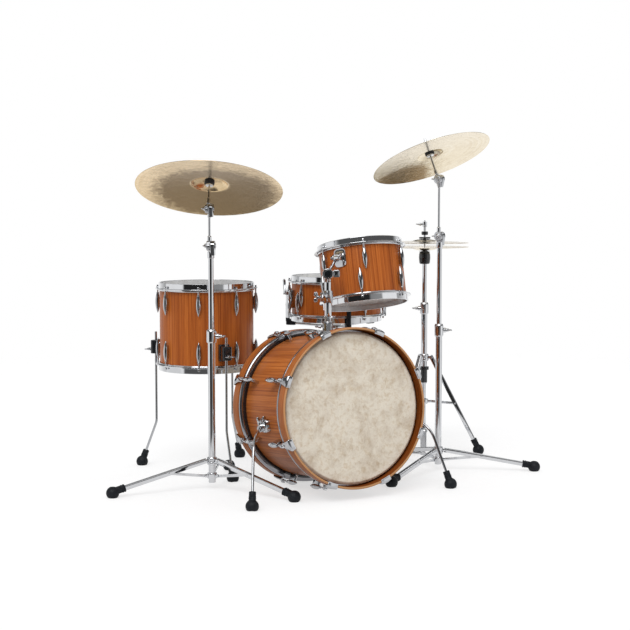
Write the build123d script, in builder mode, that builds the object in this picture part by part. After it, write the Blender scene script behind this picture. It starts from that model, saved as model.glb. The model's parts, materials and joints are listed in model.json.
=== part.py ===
"""Acoustic drum kit: kick, rack tom, floor tom and snare with their stands, two boom cymbal stands
with a ride and a crash, and a hi-hat stand.

Frame: millimetres, +Z up, floor at Z = 0, the audience looks along +Y, the player sits at +Y.
Each drum is drawn in its own frame, whose Z axis is the drum's axis and whose origin is its middle.
"""

import os
from math import cos, radians, sin

from build123d import *

os.makedirs("parts", exist_ok=True)

# Drum sizes: the usual inch sizes of the trade
INCH = 25.4
KICK_RADIUS = 10 * INCH
KICK_DEPTH = 14 * INCH
RACK_RADIUS = 6 * INCH
RACK_DEPTH = 7.5 * INCH
FLOOR_RADIUS = 7 * INCH
FLOOR_DEPTH = 11.5 * INCH
SNARE_RADIUS = 7 * INCH
SNARE_DEPTH = 5.5 * INCH
RIDE_RADIUS = 10.25 * INCH
CRASH_RADIUS = 9 * INCH
HAT_RADIUS = 7 * INCH
SHELL_WALL = 6.0
BEARING_CUT = 4.0

# Places of the units on the floor, counted from the kick drum
KICK_X, KICK_Y = -76.5125, -267.0365
KICK_TILT = 5.4
FLOOR_TOM_AT = (KICK_X - 225, KICK_Y + 550)
SNARE_AT = (KICK_X + 343, KICK_Y + 556)
RACK_TOM_AT = (KICK_X + 211, KICK_Y + 121)
LEFT_STAND_AT = (KICK_X - 366, KICK_Y + 189)
RIGHT_STAND_AT = (KICK_X + 537, KICK_Y + 105)
HIHAT_AT = (KICK_X + 693.5, KICK_Y + 452)

# Heights of the drums' middles, and the tilt of the rack tom towards the player
FLOOR_TOM_HEIGHT = 552.0
SNARE_HEIGHT = 640.0
RACK_TOM_HEIGHT = 755.0
RACK_TOM_TILT = 12.5

# Heads, hoops and tension gear of the metal-hooped drums
FILM = 0.6
FLESH_RING_WIDE = 5.5
FLESH_RING_LOW = -11.0
FLESH_RING_TOP = -3.0
HOOP_STEEL = 2.4
HOOP_TALL = 20.0
EAR_WIDE = 16.0
ROD_CIRCLE = 10.5
ROD_RADIUS = 3.0
ROD_HOLE = 3.4
LUG_LONG = 74.0
LUG_FAT = 8.6
LUG_NECK = 4.6
LUG_FROM_EDGE = 24.0

# Kick hoop, claws and lugs
KICK_HOOP_RADIUS = 278.0
KICK_HOOP_WALL = 8.0
KICK_HOOP_WIDE = 53.0
KICK_HOOP_OVERLAP = 28.0
KICK_ROD_CIRCLE = KICK_HOOP_RADIUS + 11.0 - KICK_RADIUS
FLESH_DEEP = 9.0
KICK_COLLAR = 264.0
KICK_COLLAR_DROP = 9.0
CLAW_BOSS = 7.0
CLAW_STEEL = 3.5
CLAW_WIDE_FRONT = 36.0
CLAW_WIDE_BACK = 18.0
KICK_LUGS = 8
KICK_LUG_LONG = 72.0
KICK_LUG_FROM_EDGE = 56.0

# Tubes, rods and rubber of the stands
BASE_TUBE = 12.7
BASE_BORE = 11.2
UPPER_TUBE = 9.5
UPPER_BORE = 7.8
SLIDE_GAP = 0.35
LEG_ROD = 4.75
BOOM_ROD = 4.5
CYMBAL_ROD = 4.0
FOOT_BALL = 23.0
FOOT_NECK = 12.5
FOOT_TALL = 64.0
FOOT_WAIST = 37.0
LEG_WIDE = 18.0
LEG_TALL = 16.0
LEG_WALL = 1.6
PIN = 2.5
PIN_HOLE = 2.6
LEG_PIN_AT = 31.0
BRACE_PIN_AT = 25.0

# Boom stands: tripod, clamp and tilter heights, and the way each cymbal leans
BOOM_FOOT_CIRCLE = 365.0
BOOM_TUBE_FOOT = 24.0
LEFT_COLLARS = (102.0, 49.0)
RIGHT_COLLARS = (78.0, 43.0)
LEFT_CLAMP = 547.0
RIGHT_CLAMP = 537.0
LEFT_LEG_TURN = 175.9
RIGHT_LEG_TURN = 209.7
LEFT_TILTER = 866.0
RIGHT_TILTER = 892.0
LEFT_TOP_TILTER = 997.0
RIGHT_TOP_TILTER = 1106.0
LEFT_LEAN = (21.1, 56.3)
RIGHT_LEAN = (23.8, 108.2)
TILTER_RADIUS = 17.0
TOP_TILTER_RADIUS = 17.0
TILTER_THICK = 9.0
TILTER_GAP = 0.3
RIDE_REACH = 117.0
CRASH_REACH = 121.0

# Hi-hat stand
HAT_LEG_CIRCLE = 223.0
HAT_LEG_TURN = -35.0
HAT_LEG_COLLAR = 392.0
HAT_BRACE_COLLAR = 213.0
HAT_CLAMP = 592.0
HAT_TUBE_FOOT = 104.0
HAT_WAIST = 286.0
WAIST_TUBE = 9.0
WAIST_BORE = 7.4
HAT_PEDAL_TURN = 145.0
HAT_SEAT = 826.0
HAT_GAP = 18.0
PULL_ROD = 3.2
PEDAL_LONG = 230.0
PEDAL_SLOPE = 12.0
HEEL_AT = 235.0
HEEL_PIN = 20.0

# Snare stand
SNARE_LEG_CIRCLE = 195.0
SNARE_LEG_TURN = 80.0
SNARE_LEG_COLLAR = 265.0
SNARE_BRACE_COLLAR = 135.0
SNARE_CLAMP = 330.0
BASKET_ARM_TURN = 14.7
BASKET_PIVOT = 488.0
BASKET_HUB = 524.0
BASKET_ARM = 204.5
BASKET_ROD = 5.0
SNARE_WING = 90.0
STRAINER_WIDE = 34.0
STRANDS = 20
STRAND_PITCH = 2.2

# Floor tom legs and kick spurs
FLOOR_LEG_TURNS = {"left": 135.0, "front": 266.0, "right": 38.0}
FLOOR_LEG_CIRCLE = 210.0
FLOOR_FOOT_CIRCLE = 278.0
FLOOR_LEG_TOP = 521.0
FLOOR_LEG_BEND = 175.0
FLOOR_BRACKET = 465.0
SPUR_CLAMP = (262.0, -10.0, 248.0)
SPUR_BEND = (350.0, -120.0, 225.0)
SPUR_FOOT = (396.0, -202.0, 0.0)
SPUR_CURVE = 110.0
SPUR_BOSS = 13.0

# Tom post
POST_AT = (KICK_X, KICK_Y)
POST_CLAMP = 686.0
KNUCKLE = 768.0
KNUCKLE_TURN = 61.8
TOM_BRACKET_TURN = 211.4
TOM_BRACKET_UP = 49.0
TOM_BRACKET_REACH = 24.0
POST_RECEIVER_TOP = 592.0
POST_SLEEVE = 11.3
KNUCKLE_JOURNAL = 12.0
TOM_ARM = 5.0
EYE_HALF = 8.5
EAR_THICK = 5.0

THIRDS = (0, 120, 240)
RIGHT_WING = -28.0
LEFT_WING = 152.0


# Frames and general shapes
def frame_at(origin, lean=0.0, bearing=0.0):
    """Frame at a point whose Z axis leans by an angle towards a compass bearing counted from +X."""
    up = (sin(radians(lean)) * cos(radians(bearing)), sin(radians(lean)) * sin(radians(bearing)),
          cos(radians(lean)))
    side = (-sin(radians(bearing)), cos(radians(bearing)), 0)
    if lean == 0:
        side = (1, 0, 0)
    return Plane(origin=origin, x_dir=side, z_dir=up)


def within(frame, x=0.0, y=0.0, z=0.0, turn=(0, 0, 0)):
    """Frame at a place given in another frame's own coordinates."""
    return Plane(frame.location * Location((x, y, z), turn))


def around(frame, radius, angle, z=0.0):
    """Frame on a circle about another frame's axis, with its X axis pointing outwards."""
    return within(within(frame, turn=(0, 0, angle)), radius, 0, z)


def half_plane(frame):
    """Half plane through a frame's axis: its X is the radius and its Y the height."""
    return Plane(origin=frame.origin, x_dir=frame.x_dir, z_dir=frame.y_dir * -1)


def axis_of(frame):
    return Axis(frame.origin, frame.z_dir)


def turned(frame, corners):
    """Solid of revolution about a frame's axis, from (radius, height) corners."""
    with BuildPart() as piece:
        with BuildSketch(half_plane(frame)):
            with BuildLine():
                Polyline(*corners, close=True)
            make_face()
        revolve(axis=axis_of(frame))
    return piece.part


def barrel(frame, radius, low, high, bore=0.0):
    """Cylinder along a frame's axis from one height to another, with an optional bore."""
    with BuildPart() as piece:
        with BuildSketch(within(frame, z=low)):
            Circle(radius)
            if bore:
                Circle(bore, mode=Mode.SUBTRACT)
        extrude(amount=high - low)
    return piece.part


def rod(start, end, radius, bore=0.0):
    """Straight round bar or tube between two points."""
    way = Vector(*end) - Vector(*start)
    return barrel(Plane(origin=start, z_dir=way), radius, 0, way.length, bore)


def bent_rod(points, radius, bend):
    """Round bar along straight runs joined by arcs."""
    first = Vector(*points[0])
    with BuildPart() as piece:
        with BuildLine() as path:
            FilletPolyline(*points, radius=bend)
        with BuildSketch(Plane(origin=first, z_dir=Vector(*points[1]) - first)):
            Circle(radius)
        sweep(path=path.line)
    return piece.part


def block(frame, x_size, y_size, low, high, corner=0.0):
    """Upright block on a frame, centred in X and Y, with rounded corners."""
    with BuildPart() as piece:
        with BuildSketch(within(frame, z=low)):
            if corner:
                RectangleRounded(x_size, y_size, corner)
            else:
                Rectangle(x_size, y_size)
        extrude(amount=high - low)
    return piece.part


def together(pieces, cut=()):
    """The pieces as one group, less the cutters."""
    with BuildPart() as group:
        for piece in pieces:
            add(piece)
        for cutter in cut:
            add(cutter, mode=Mode.SUBTRACT)
    return group.part


def write(name, part):
    """Label a finished piece and write it."""
    part.label = name
    export_step(part, f"parts/{name}.step")


def point(frame, x=0.0, y=0.0, z=0.0):
    """World point of a place in a frame's own coordinates."""
    return tuple(frame.from_local_coords(Vector(x, y, z)))


# Drum pieces: each is drawn for the end that its frame's Z points to
def facing_back(frame):
    """The same frame turned over, so that its Z points to the drum's other end."""
    return within(frame, turn=(180, 0, 0))


def both_ends(frame, turn, stagger=0.0):
    """The two end frames of a drum with the turn of their lugs, the lower ones beside the upper."""
    return ((frame, turn), (facing_back(frame), -turn - stagger))


def drum_shell(frame, radius, depth):
    """Wooden cylinder with both bearing edges cut at 45 degrees on the inside."""
    half = depth / 2
    inner = radius - SHELL_WALL
    crest = inner + BEARING_CUT
    return turned(frame, [(radius, -half), (radius, half), (crest, half), (inner, half - BEARING_CUT),
                          (inner, BEARING_CUT - half), (crest, -half)])


def drum_head(frame, radius, depth):
    """Film over the bearing edge, its collar and the flesh ring that it is held in."""
    edge = depth / 2
    collar = radius + 0.4
    skirt = collar + FILM
    ring = skirt + FLESH_RING_WIDE
    low = edge + FLESH_RING_LOW
    top = edge + FLESH_RING_TOP
    return turned(frame, [(0, edge), (collar, edge), (collar, low), (ring, low), (ring, top), (skirt, top),
                          (skirt, edge + FILM), (0, edge + FILM)])


def steel_hoop(frame, radius, depth, lugs, turn):
    """Pressed hoop: a flange with the rod holes, an upright band and a rim rolled inwards."""
    inner = radius + 1.8
    outer = inner + HOOP_STEEL
    rim = inner - 2.5
    ear = radius + EAR_WIDE
    foot = depth / 2 + FLESH_RING_TOP
    top = depth / 2 + HOOP_TALL
    with BuildPart() as hoop:
        add(turned(frame, [(inner, foot), (ear, foot), (ear, foot + HOOP_STEEL), (outer, foot + HOOP_STEEL),
                           (outer, top), (rim, top), (rim, top - HOOP_STEEL), (inner, top - HOOP_STEEL)]))
        for k in range(lugs):
            hole = around(frame, radius + ROD_CIRCLE, turn + k * 360 / lugs)
            add(barrel(hole, ROD_HOLE, foot - 1, foot + HOOP_STEEL + 1), mode=Mode.SUBTRACT)
    return hoop.part


def lug(seat, standoff, shell, length):
    """Teardrop lug on a shell: X outwards, Z towards the rod, origin on the shell below its rod end.

    The spindle stands on a foot, and the shell cuts both to its own curve.
    """
    spindle = within(seat, x=standoff)
    tip = 1.2
    widest = -length * 0.42
    with BuildPart() as piece:
        with BuildSketch(half_plane(spindle)):
            with BuildLine():
                Line((0, -length), (tip, -length))
                ThreePointArc((tip, -length), (LUG_FAT, widest), (LUG_NECK, 0))
                Line((LUG_NECK, 0), (0, 0))
                Line((0, 0), (0, -length))
            make_face()
        revolve(axis=axis_of(spindle))
        with BuildSketch(within(seat, x=-6, z=widest, turn=(0, 90, 0))):
            SlotOverall(length * 0.62, 9)
        extrude(amount=standoff + 6)
        add(shell, mode=Mode.SUBTRACT)
        add(barrel(spindle, ROD_RADIUS + 0.1, -length * 0.3, 1), mode=Mode.SUBTRACT)
    return piece.part


def lug_ring(frame, radius, depth, lugs, turn):
    """The lugs of one end of a drum with steel hoops."""
    shell = barrel(frame, radius, -depth / 2, depth / 2)
    seats = [around(frame, radius, turn + k * 360 / lugs, depth / 2 - LUG_FROM_EDGE) for k in range(lugs)]
    return [lug(seat, ROD_CIRCLE, shell, LUG_LONG) for seat in seats]


def tension_rod(seat, reach, grip):
    """Key rod: its thread in the lug, a washer on the hoop or claw, and a square head."""
    with BuildPart() as piece:
        add(barrel(seat, ROD_RADIUS, -grip, reach))
        add(barrel(seat, 6.0, reach, reach + 1.6))
        with BuildSketch(within(seat, z=reach + 1.6)):
            RectangleRounded(6.4, 6.4, 0.8)
        extrude(amount=8)
    return piece.part


def rod_ring(frame, radius, depth, lugs, turn):
    """The tension rods of one end of a drum with steel hoops."""
    reach = LUG_FROM_EDGE + FLESH_RING_TOP + HOOP_STEEL
    low = depth / 2 - LUG_FROM_EDGE
    seats = [around(frame, radius + ROD_CIRCLE, turn + k * 360 / lugs, low) for k in range(lugs)]
    return [tension_rod(seat, reach, LUG_LONG * 0.26) for seat in seats]


def steel_drum(name, frame, radius, depth, lugs, turn, stagger=0.0, gates=()):
    """Shell, hoops, heads, lugs and rods of a tom or a snare drum; a snare keeps its rods with its lugs."""
    ends = both_ends(frame, turn, stagger)
    write(f"{name}_shell", drum_shell(frame, radius, depth))
    write(f"{name}_hoops", together([steel_hoop(end, radius, depth, lugs, at) for end, at in ends], gates))
    write(f"{name}_heads", together([drum_head(end, radius, depth) for end, at in ends]))
    lug_set = [piece for end, at in ends for piece in lug_ring(end, radius, depth, lugs, at)]
    rod_set = [piece for end, at in ends for piece in rod_ring(end, radius, depth, lugs, at)]
    if gates:
        write(f"{name}_lugs", together(lug_set + rod_set))
    else:
        write(f"{name}_lugs", together(lug_set))
        write(f"{name}_tension_rods", together(rod_set))


# Stand pieces
def rubber_foot(tip, direction, socket):
    """Ball foot with a neck along a leg's direction, its sole cut flat on the floor."""
    frame = Plane(origin=tip, z_dir=direction)
    with BuildPart() as foot:
        with BuildSketch(half_plane(frame)):
            with BuildLine():
                Line((0, -8), (FOOT_BALL * 0.62, -8))
                ThreePointArc((FOOT_BALL * 0.62, -8), (FOOT_BALL, 15), (FOOT_NECK, FOOT_WAIST))
                Polyline((FOOT_NECK, FOOT_WAIST), (FOOT_NECK, FOOT_TALL), (socket, FOOT_TALL), (socket, 24), (0, 24))
                Line((0, 24), (0, -8))
            make_face()
        revolve(axis=axis_of(frame))
        split(bisect_by=Plane.XY, keep=Keep.TOP)
    return foot.part


def wing_screw(seat, reach, span=17.0):
    """Wing screw along a seat's Z: shank, boss and two flat wings."""
    with BuildPart() as screw:
        add(barrel(seat, 3.0, 0, reach))
        add(barrel(seat, 6.0, reach, reach + 9))
        with BuildSketch(within(seat, z=reach + 8, turn=(90, 0, 0))):
            with Locations((span * 0.62, span * 0.28), (-span * 0.62, span * 0.28)):
                Ellipse(span * 0.5, span * 0.42)
            Rectangle(span, 6)
        extrude(amount=1.6, both=True)
    return screw.part


def leg_frame(base, angle, inner, outer):
    """Frame along a leg from its collar pin to its foot: Z runs outwards, X is level."""
    spoke = within(base, turn=(0, 0, angle))
    start = Vector(*point(spoke, inner[0], 0, inner[1]))
    finish = Vector(*point(spoke, outer[0], 0, outer[1]))
    return Plane(origin=start, x_dir=spoke.y_dir, z_dir=finish - start), (finish - start).length


def channel_leg(base, angle, inner, outer, brace_share):
    """Pressed channel, open below, with the pins that its collar tab and its brace turn on."""
    frame, length = leg_frame(base, angle, inner, outer)
    with BuildPart() as leg:
        with BuildSketch(within(frame, z=-8)):
            Rectangle(LEG_WIDE, LEG_TALL)
            with Locations((0, -LEG_WALL if frame.y_dir.Z > 0 else LEG_WALL)):
                Rectangle(LEG_WIDE - 2 * LEG_WALL, LEG_TALL, mode=Mode.SUBTRACT)
        extrude(amount=length + 8 - 12)
        for place in (0, length * brace_share):
            across = within(frame, z=place, turn=(0, 90, 0))
            add(barrel(across, PIN, -LEG_WIDE / 2, LEG_WIDE / 2))
    return leg.part


def brace_bar(base, angle, inner, outer):
    """Flat bar between the brace collar and a leg, with an eye at the leg and a pin at the collar."""
    frame, length = leg_frame(base, angle, inner, outer)
    flat = Plane(origin=frame.origin, x_dir=frame.z_dir, z_dir=frame.x_dir)
    with BuildPart() as bar:
        with BuildSketch(flat):
            with Locations((length / 2, 0)):
                SlotOverall(length + 10, 10)
            with Locations((length, 0)):
                Circle(PIN_HOLE, mode=Mode.SUBTRACT)
        extrude(amount=2, both=True)
        add(barrel(flat, PIN, -6, 6))
    return bar.part


def tripod(base, turn, collar, foot_circle, brace_collar, brace_share):
    """Legs, braces and rubber feet of a tripod about a base frame on the floor."""
    inner = (LEG_PIN_AT, collar)
    outer = (foot_circle, 20.0)
    brace_end = tuple(a + (b - a) * brace_share for a, b in zip(inner, outer))
    legs = []
    feet = []
    for third in THIRDS:
        angle = turn + third
        legs.append(channel_leg(base, angle, inner, outer, brace_share))
        legs.append(brace_bar(base, angle, (BRACE_PIN_AT, brace_collar), brace_end))
        feet.append(leg_boot(base, angle, inner, outer))
    return legs, feet


def leg_boot(base, angle, inner, outer):
    """Rubber boot on a channel leg: a sleeve along the leg over a round sole."""
    frame, length = leg_frame(base, angle, inner, outer)
    tip = point(within(base, turn=(0, 0, angle)), outer[0], 0, 0)
    with BuildPart() as boot:
        with BuildSketch(half_plane(Plane(origin=tip))):
            with BuildLine():
                Line((0, 0), (FOOT_BALL * 0.7, 0))
                ThreePointArc((FOOT_BALL * 0.7, 0), (FOOT_BALL, 16), (FOOT_NECK, FOOT_WAIST))
                Line((FOOT_NECK, FOOT_WAIST), (0, FOOT_WAIST))
                Line((0, FOOT_WAIST), (0, 0))
            make_face()
        revolve(axis=Axis(tip, (0, 0, 1)))
        with BuildSketch(within(frame, z=length - 44)):
            RectangleRounded(LEG_WIDE + 7, LEG_TALL + 7, 5)
        extrude(amount=40)
        with BuildSketch(within(frame, z=length - 60)):
            Rectangle(LEG_WIDE + 0.5, LEG_TALL + 0.5)
        extrude(amount=49, mode=Mode.SUBTRACT)
        split(bisect_by=Plane.XY, keep=Keep.TOP)
    return boot.part


def leg_collar(base, turn, height, tall=28.0):
    """Ring on a base tube with one thick tab for each leg."""
    pieces = [barrel(base, 19, height - tall / 2, height + tall / 2)]
    for third in THIRDS:
        flat = within(within(base, turn=(0, 0, turn + third)), z=height, turn=(90, 0, 0))
        with BuildPart() as tab:
            with BuildSketch(flat):
                SlotCenterPoint((23, 0), (LEG_PIN_AT, 0), 12)
                with Locations((LEG_PIN_AT, 0)):
                    Circle(PIN_HOLE, mode=Mode.SUBTRACT)
            extrude(amount=4, both=True)
        pieces.append(tab.part)
    return pieces


def brace_fork_collar(base, turn, height):
    """Ring on a base tube with a pair of tabs for each brace."""
    pieces = [barrel(base, 18, height - 10, height + 10)]
    for third in THIRDS:
        flat = within(within(base, turn=(0, 0, turn + third)), z=height, turn=(90, 0, 0))
        with BuildPart() as tab:
            for low in (2.4, -5.4):
                with BuildSketch(within(flat, z=low)):
                    SlotCenterPoint((18, 0), (BRACE_PIN_AT, 0), 11)
                    with Locations((BRACE_PIN_AT, 0)):
                        Circle(PIN_HOLE, mode=Mode.SUBTRACT)
                extrude(amount=3)
        pieces.append(tab.part)
    return pieces


def screw_seat(base, clamp, wing):
    """Frame of a clamp's wing screw, with Z outwards at a bearing."""
    return within(within(base, z=clamp, turn=(0, 0, wing)), turn=(0, 90, 0))


def base_tube(base, turn, foot, clamp, collar, brace_collar, wing, waist=0.0):
    """Lower tube of a stand, slim below its waist, with two tripod collars and the height clamp on top."""
    boss = screw_seat(base, clamp, wing)
    wide_from = max(foot, waist)
    pieces = [barrel(base, BASE_TUBE, wide_from, clamp + 10)]
    pieces += leg_collar(base, turn, collar)
    pieces += brace_fork_collar(base, turn, brace_collar)
    pieces.append(barrel(base, 17.5, clamp - 24, clamp + 24))
    pieces.append(barrel(boss, 9, 0, 27))
    bores = [barrel(base, BASE_BORE, wide_from + 6 if waist else foot - 1, clamp - 24)]
    if waist:
        pieces.append(barrel(base, WAIST_TUBE, foot, waist + 1))
        bores.append(barrel(base, WAIST_BORE, foot - 1, waist + 7))
    bores.append(barrel(base, UPPER_TUBE + SLIDE_GAP, clamp - 25, clamp + 25))
    bores.append(barrel(boss, 3.2, 8, 28))
    return together(pieces, bores)


def clamp_screw(base, clamp, wing):
    """Wing screw in a stand's clamp boss, its point just clear of the sliding tube."""
    return wing_screw(within(screw_seat(base, clamp, wing), z=UPPER_TUBE + 0.7), 18.4)


def ratchet_fixed(center, across, radius):
    """Fixed half of a tilter about its hinge frame: toothed disc, hinge bolt and wing nut."""
    hinge = Plane(origin=center, z_dir=across)
    far = TILTER_GAP + TILTER_THICK
    pieces = [barrel(hinge, radius, -far, -TILTER_GAP), barrel(hinge, 4, -far, far + 9)]
    pieces.append(barrel(hinge, 7, far + 0.4, far + 7))
    with BuildPart() as wings:
        with BuildSketch(within(hinge, z=far + 5, turn=(90, 0, 0))):
            with Locations((12, 4), (-12, 4)):
                Ellipse(8, 5)
            Rectangle(18, 4)
        extrude(amount=1.5, both=True)
    pieces.append(wings.part)
    return pieces


def ratchet_turning(center, across, radius):
    """Turning half of a tilter: the disc that faces the fixed one, with the bolt hole."""
    hinge = Plane(origin=center, z_dir=across)
    return barrel(hinge, radius, TILTER_GAP, TILTER_GAP + TILTER_THICK, 4.1)


def cymbal(frame, radius, bell, rise, bell_rise, thick=1.4):
    """Bowed plate with a bell: arcs from rim to bell and from bell to hole, origin at the hole's top."""
    hole = 6.5
    foot = -bell_rise
    rim = foot - rise
    bow_mid = ((radius + bell) / 2, (foot + rim) / 2 + rise * 0.16)
    bell_mid = (bell * 0.72, -bell_rise * 0.42)
    with BuildPart() as plate:
        with BuildSketch(half_plane(frame)):
            with BuildLine():
                ThreePointArc((radius, rim), bow_mid, (bell, foot))
                ThreePointArc((bell, foot), bell_mid, (hole, 0))
                Line((hole, 0), (hole, -thick))
                ThreePointArc((hole, -thick), (bell_mid[0] - 0.4, bell_mid[1] - thick), (bell, foot - thick))
                ThreePointArc((bell, foot - thick), (bow_mid[0], bow_mid[1] - thick), (radius, rim - thick))
                Line((radius, rim - thick), (radius, rim))
            make_face()
        revolve(axis=axis_of(frame))
    return plate.part


def felt(frame, seat, bell, wide, crown):
    """Felt washer on a cymbal rod from its seat to the bell, with the side at the bell crowned by an amount."""
    bore = CYMBAL_ROD + 0.6
    soft = 3.0 if bell > seat else -3.0
    rise = crown if bell > seat else -crown
    return turned(frame, [(bore, seat), (wide - 3, seat), (wide, seat + soft), (wide, bell - rise - soft),
                          (wide - 3, bell - rise), (bore + 3, bell), (bore, bell)])


def boom_stand(side, at, clamp, tilter, top_tilter, lean, reach, cymbal_name, cymbal_shape):
    """Sliding tube, boom, tilter, felts and cymbal of a boom stand, each a node."""
    x, y = at
    base = Plane(origin=(x, y, 0))
    tilt, bearing = lean
    across = Vector(-sin(radians(bearing)), cos(radians(bearing)), 0)
    shift = across * (TILTER_GAP + TILTER_THICK / 2)
    far = TILTER_GAP + TILTER_THICK
    level = Plane(origin=(x, y, 0), x_dir=across)

    pivot = Vector(x, y, tilter)
    neck = within(level, x=-far / 2 - TILTER_GAP / 2)
    with BuildPart() as upper_tube:
        add(barrel(base, UPPER_TUBE, clamp - 190, tilter - 26, UPPER_BORE))
        add(barrel(base, 12.5, tilter - 42, tilter - 19.5))
        add(block(neck, TILTER_THICK, 22, tilter - 24, tilter - 4))
        for piece in ratchet_fixed(pivot, across, TILTER_RADIUS):
            add(piece)
    write(f"{side}_stand_upper_tube", upper_tube.part)

    top = Vector(x, y, top_tilter) + shift
    mast = Plane(origin=Vector(x, y, 0) + shift, x_dir=across)
    top_foot = top_tilter - TOP_TILTER_RADIUS - 1.5
    with BuildPart() as boom:
        add(ratchet_turning(pivot, across, TILTER_RADIUS))
        add(barrel(mast, 7.5, tilter + TILTER_RADIUS + 0.6, tilter + 34))
        add(barrel(mast, BOOM_ROD, tilter + 14, top_foot))
        add(barrel(mast, 6.5, top_foot - 12, top_foot))
        add(block(within(mast, x=-far / 2 - TILTER_GAP / 2), TILTER_THICK, 12, top_foot - 8, top_tilter - 8))
        for piece in ratchet_fixed(top, across, TOP_TILTER_RADIUS):
            add(piece)
        add(barrel(Plane(origin=pivot, z_dir=across), 4.1, -far, far), mode=Mode.SUBTRACT)
    write(f"{side}_stand_boom", boom.part)

    stem = frame_at(top + shift, tilt, bearing)
    washer = reach - cymbal_shape[3] - 1.5
    with BuildPart() as holder:
        add(ratchet_turning(top, across, TOP_TILTER_RADIUS))
        add(barrel(stem, CYMBAL_ROD, TOP_TILTER_RADIUS - 2, reach + 46))
        add(barrel(stem, 6.5, TOP_TILTER_RADIUS + 0.6, TOP_TILTER_RADIUS + 22))
        add(barrel(stem, 14, washer - 4, washer - 0.3))
        nut = within(stem, z=reach + 15)
        add(barrel(nut, 7, 0, 10, CYMBAL_ROD + 0.1))
        with BuildSketch(within(nut, z=6, turn=(90, 0, 0))):
            with Locations((12.5, 3), (-12.5, 3)):
                Ellipse(6.5, 6)
        extrude(amount=1.6, both=True)
    write(f"{side}_cymbal_tilter", holder.part)

    lower = felt(stem, washer, reach - 2.6, 18, 6.5)
    upper = felt(stem, reach + 14.7, reach + 0.8, 17, 2.2)
    write(f"{side}_cymbal_felts", together([lower, upper]))
    write(cymbal_name, cymbal(within(stem, z=reach), *cymbal_shape))


# Kick drum
KICK_HALF_SPAN = KICK_DEPTH / 2 - KICK_HOOP_OVERLAP + KICK_HOOP_WIDE
KICK_HEIGHT = KICK_HOOP_RADIUS * cos(radians(KICK_TILT)) + KICK_HALF_SPAN * sin(radians(KICK_TILT))
KICK = Plane(origin=(KICK_X, KICK_Y, KICK_HEIGHT), x_dir=(1, 0, 0),
             z_dir=(0, -cos(radians(KICK_TILT)), sin(radians(KICK_TILT))))
KICK_ENDS = (KICK, facing_back(KICK))
KICK_BARREL = barrel(KICK, KICK_RADIUS, -KICK_DEPTH / 2, KICK_DEPTH / 2)
LUG_ANGLES = [22.5 + k * 360 / KICK_LUGS for k in range(KICK_LUGS)]
HOOP_BACK = KICK_DEPTH / 2 - KICK_HOOP_OVERLAP + FLESH_DEEP
HOOP_FRONT = HOOP_BACK + KICK_HOOP_WIDE - FLESH_DEEP
ROD_REACH = KICK_RADIUS + KICK_ROD_CIRCLE
POST = Plane(origin=(*POST_AT, 0))


def kick_hoop(frame):
    """Flat wooden hoop with eased edges, standing in front of the head's flesh ring."""
    inner = KICK_HOOP_RADIUS - KICK_HOOP_WALL
    soft = 2.0
    return turned(frame, [(inner, HOOP_BACK), (KICK_HOOP_RADIUS - soft, HOOP_BACK),
                          (KICK_HOOP_RADIUS, HOOP_BACK + soft), (KICK_HOOP_RADIUS, HOOP_FRONT - soft),
                          (KICK_HOOP_RADIUS - soft, HOOP_FRONT), (inner + soft, HOOP_FRONT),
                          (inner, HOOP_FRONT - soft)])


def kick_head(frame):
    """Film, collar and the metal flesh ring that shows behind the wooden hoop."""
    edge = KICK_DEPTH / 2
    collar = KICK_RADIUS + 0.6
    ring = KICK_HOOP_RADIUS - 4
    low = HOOP_BACK - FLESH_DEEP
    return turned(frame, [(0, edge), (collar, edge), (collar, low), (ring, low), (ring, HOOP_BACK),
                          (KICK_COLLAR, HOOP_BACK), (KICK_COLLAR, edge - KICK_COLLAR_DROP),
                          (collar + 1, edge + FILM), (0, edge + FILM)])


def kick_claw(frame, angle):
    """Flared claw: a plate along the hoop, a hook over its rim and a boss for the rod."""
    back = HOOP_BACK - CLAW_BOSS
    front = HOOP_FRONT + CLAW_STEEL
    under = KICK_HOOP_RADIUS + 0.2
    outside = under + CLAW_STEEL
    hook = KICK_HOOP_RADIUS - KICK_HOOP_WALL + 1
    half_back = CLAW_WIDE_BACK / 2
    half_front = CLAW_WIDE_FRONT / 2
    spoke = within(frame, turn=(0, 0, angle))
    with BuildPart() as claw:
        with BuildSketch(half_plane(spoke)):
            with BuildLine():
                Polyline((hook, HOOP_FRONT + 0.2), (under, HOOP_FRONT + 0.2), (under, back), (outside, back),
                         (outside, front - 2), (outside - 2, front), (hook, front), close=True)
            make_face()
        extrude(amount=half_front, both=True)
        add(barrel(within(spoke, x=ROD_REACH), 7.5, back, back + 2 * CLAW_BOSS))
        with BuildSketch(Plane(origin=point(spoke, hook - 20), x_dir=spoke.z_dir, z_dir=spoke.x_dir)):
            with BuildLine():
                Line((back, -half_back), (back, half_back))
                ThreePointArc((back, half_back), ((back + front) / 2, half_back * 1.12), (front, half_front))
                Line((front, half_front), (front, -half_front))
                ThreePointArc((front, -half_front), ((back + front) / 2, -half_back * 1.12), (back, -half_back))
            make_face()
        extrude(amount=80, mode=Mode.INTERSECT)
        add(barrel(frame, under, back - 1, HOOP_FRONT + 0.2), mode=Mode.SUBTRACT)
        add(barrel(within(spoke, x=ROD_REACH), ROD_HOLE, back - 1, back + 2 * CLAW_BOSS + 1), mode=Mode.SUBTRACT)
    return claw.part


with BuildPart() as kick_shell:
    add(drum_shell(KICK, KICK_RADIUS, KICK_DEPTH))
    add(barrel(POST, 13.5, KICK_HEIGHT, KICK_HEIGHT + 400), mode=Mode.SUBTRACT)
write("kick_shell", kick_shell.part)
write("kick_hoops", together([kick_hoop(end) for end in KICK_ENDS]))
write("kick_heads", together([kick_head(end) for end in KICK_ENDS]))
write("kick_claws", together([kick_claw(end, angle) for end in KICK_ENDS for angle in LUG_ANGLES]))

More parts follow.
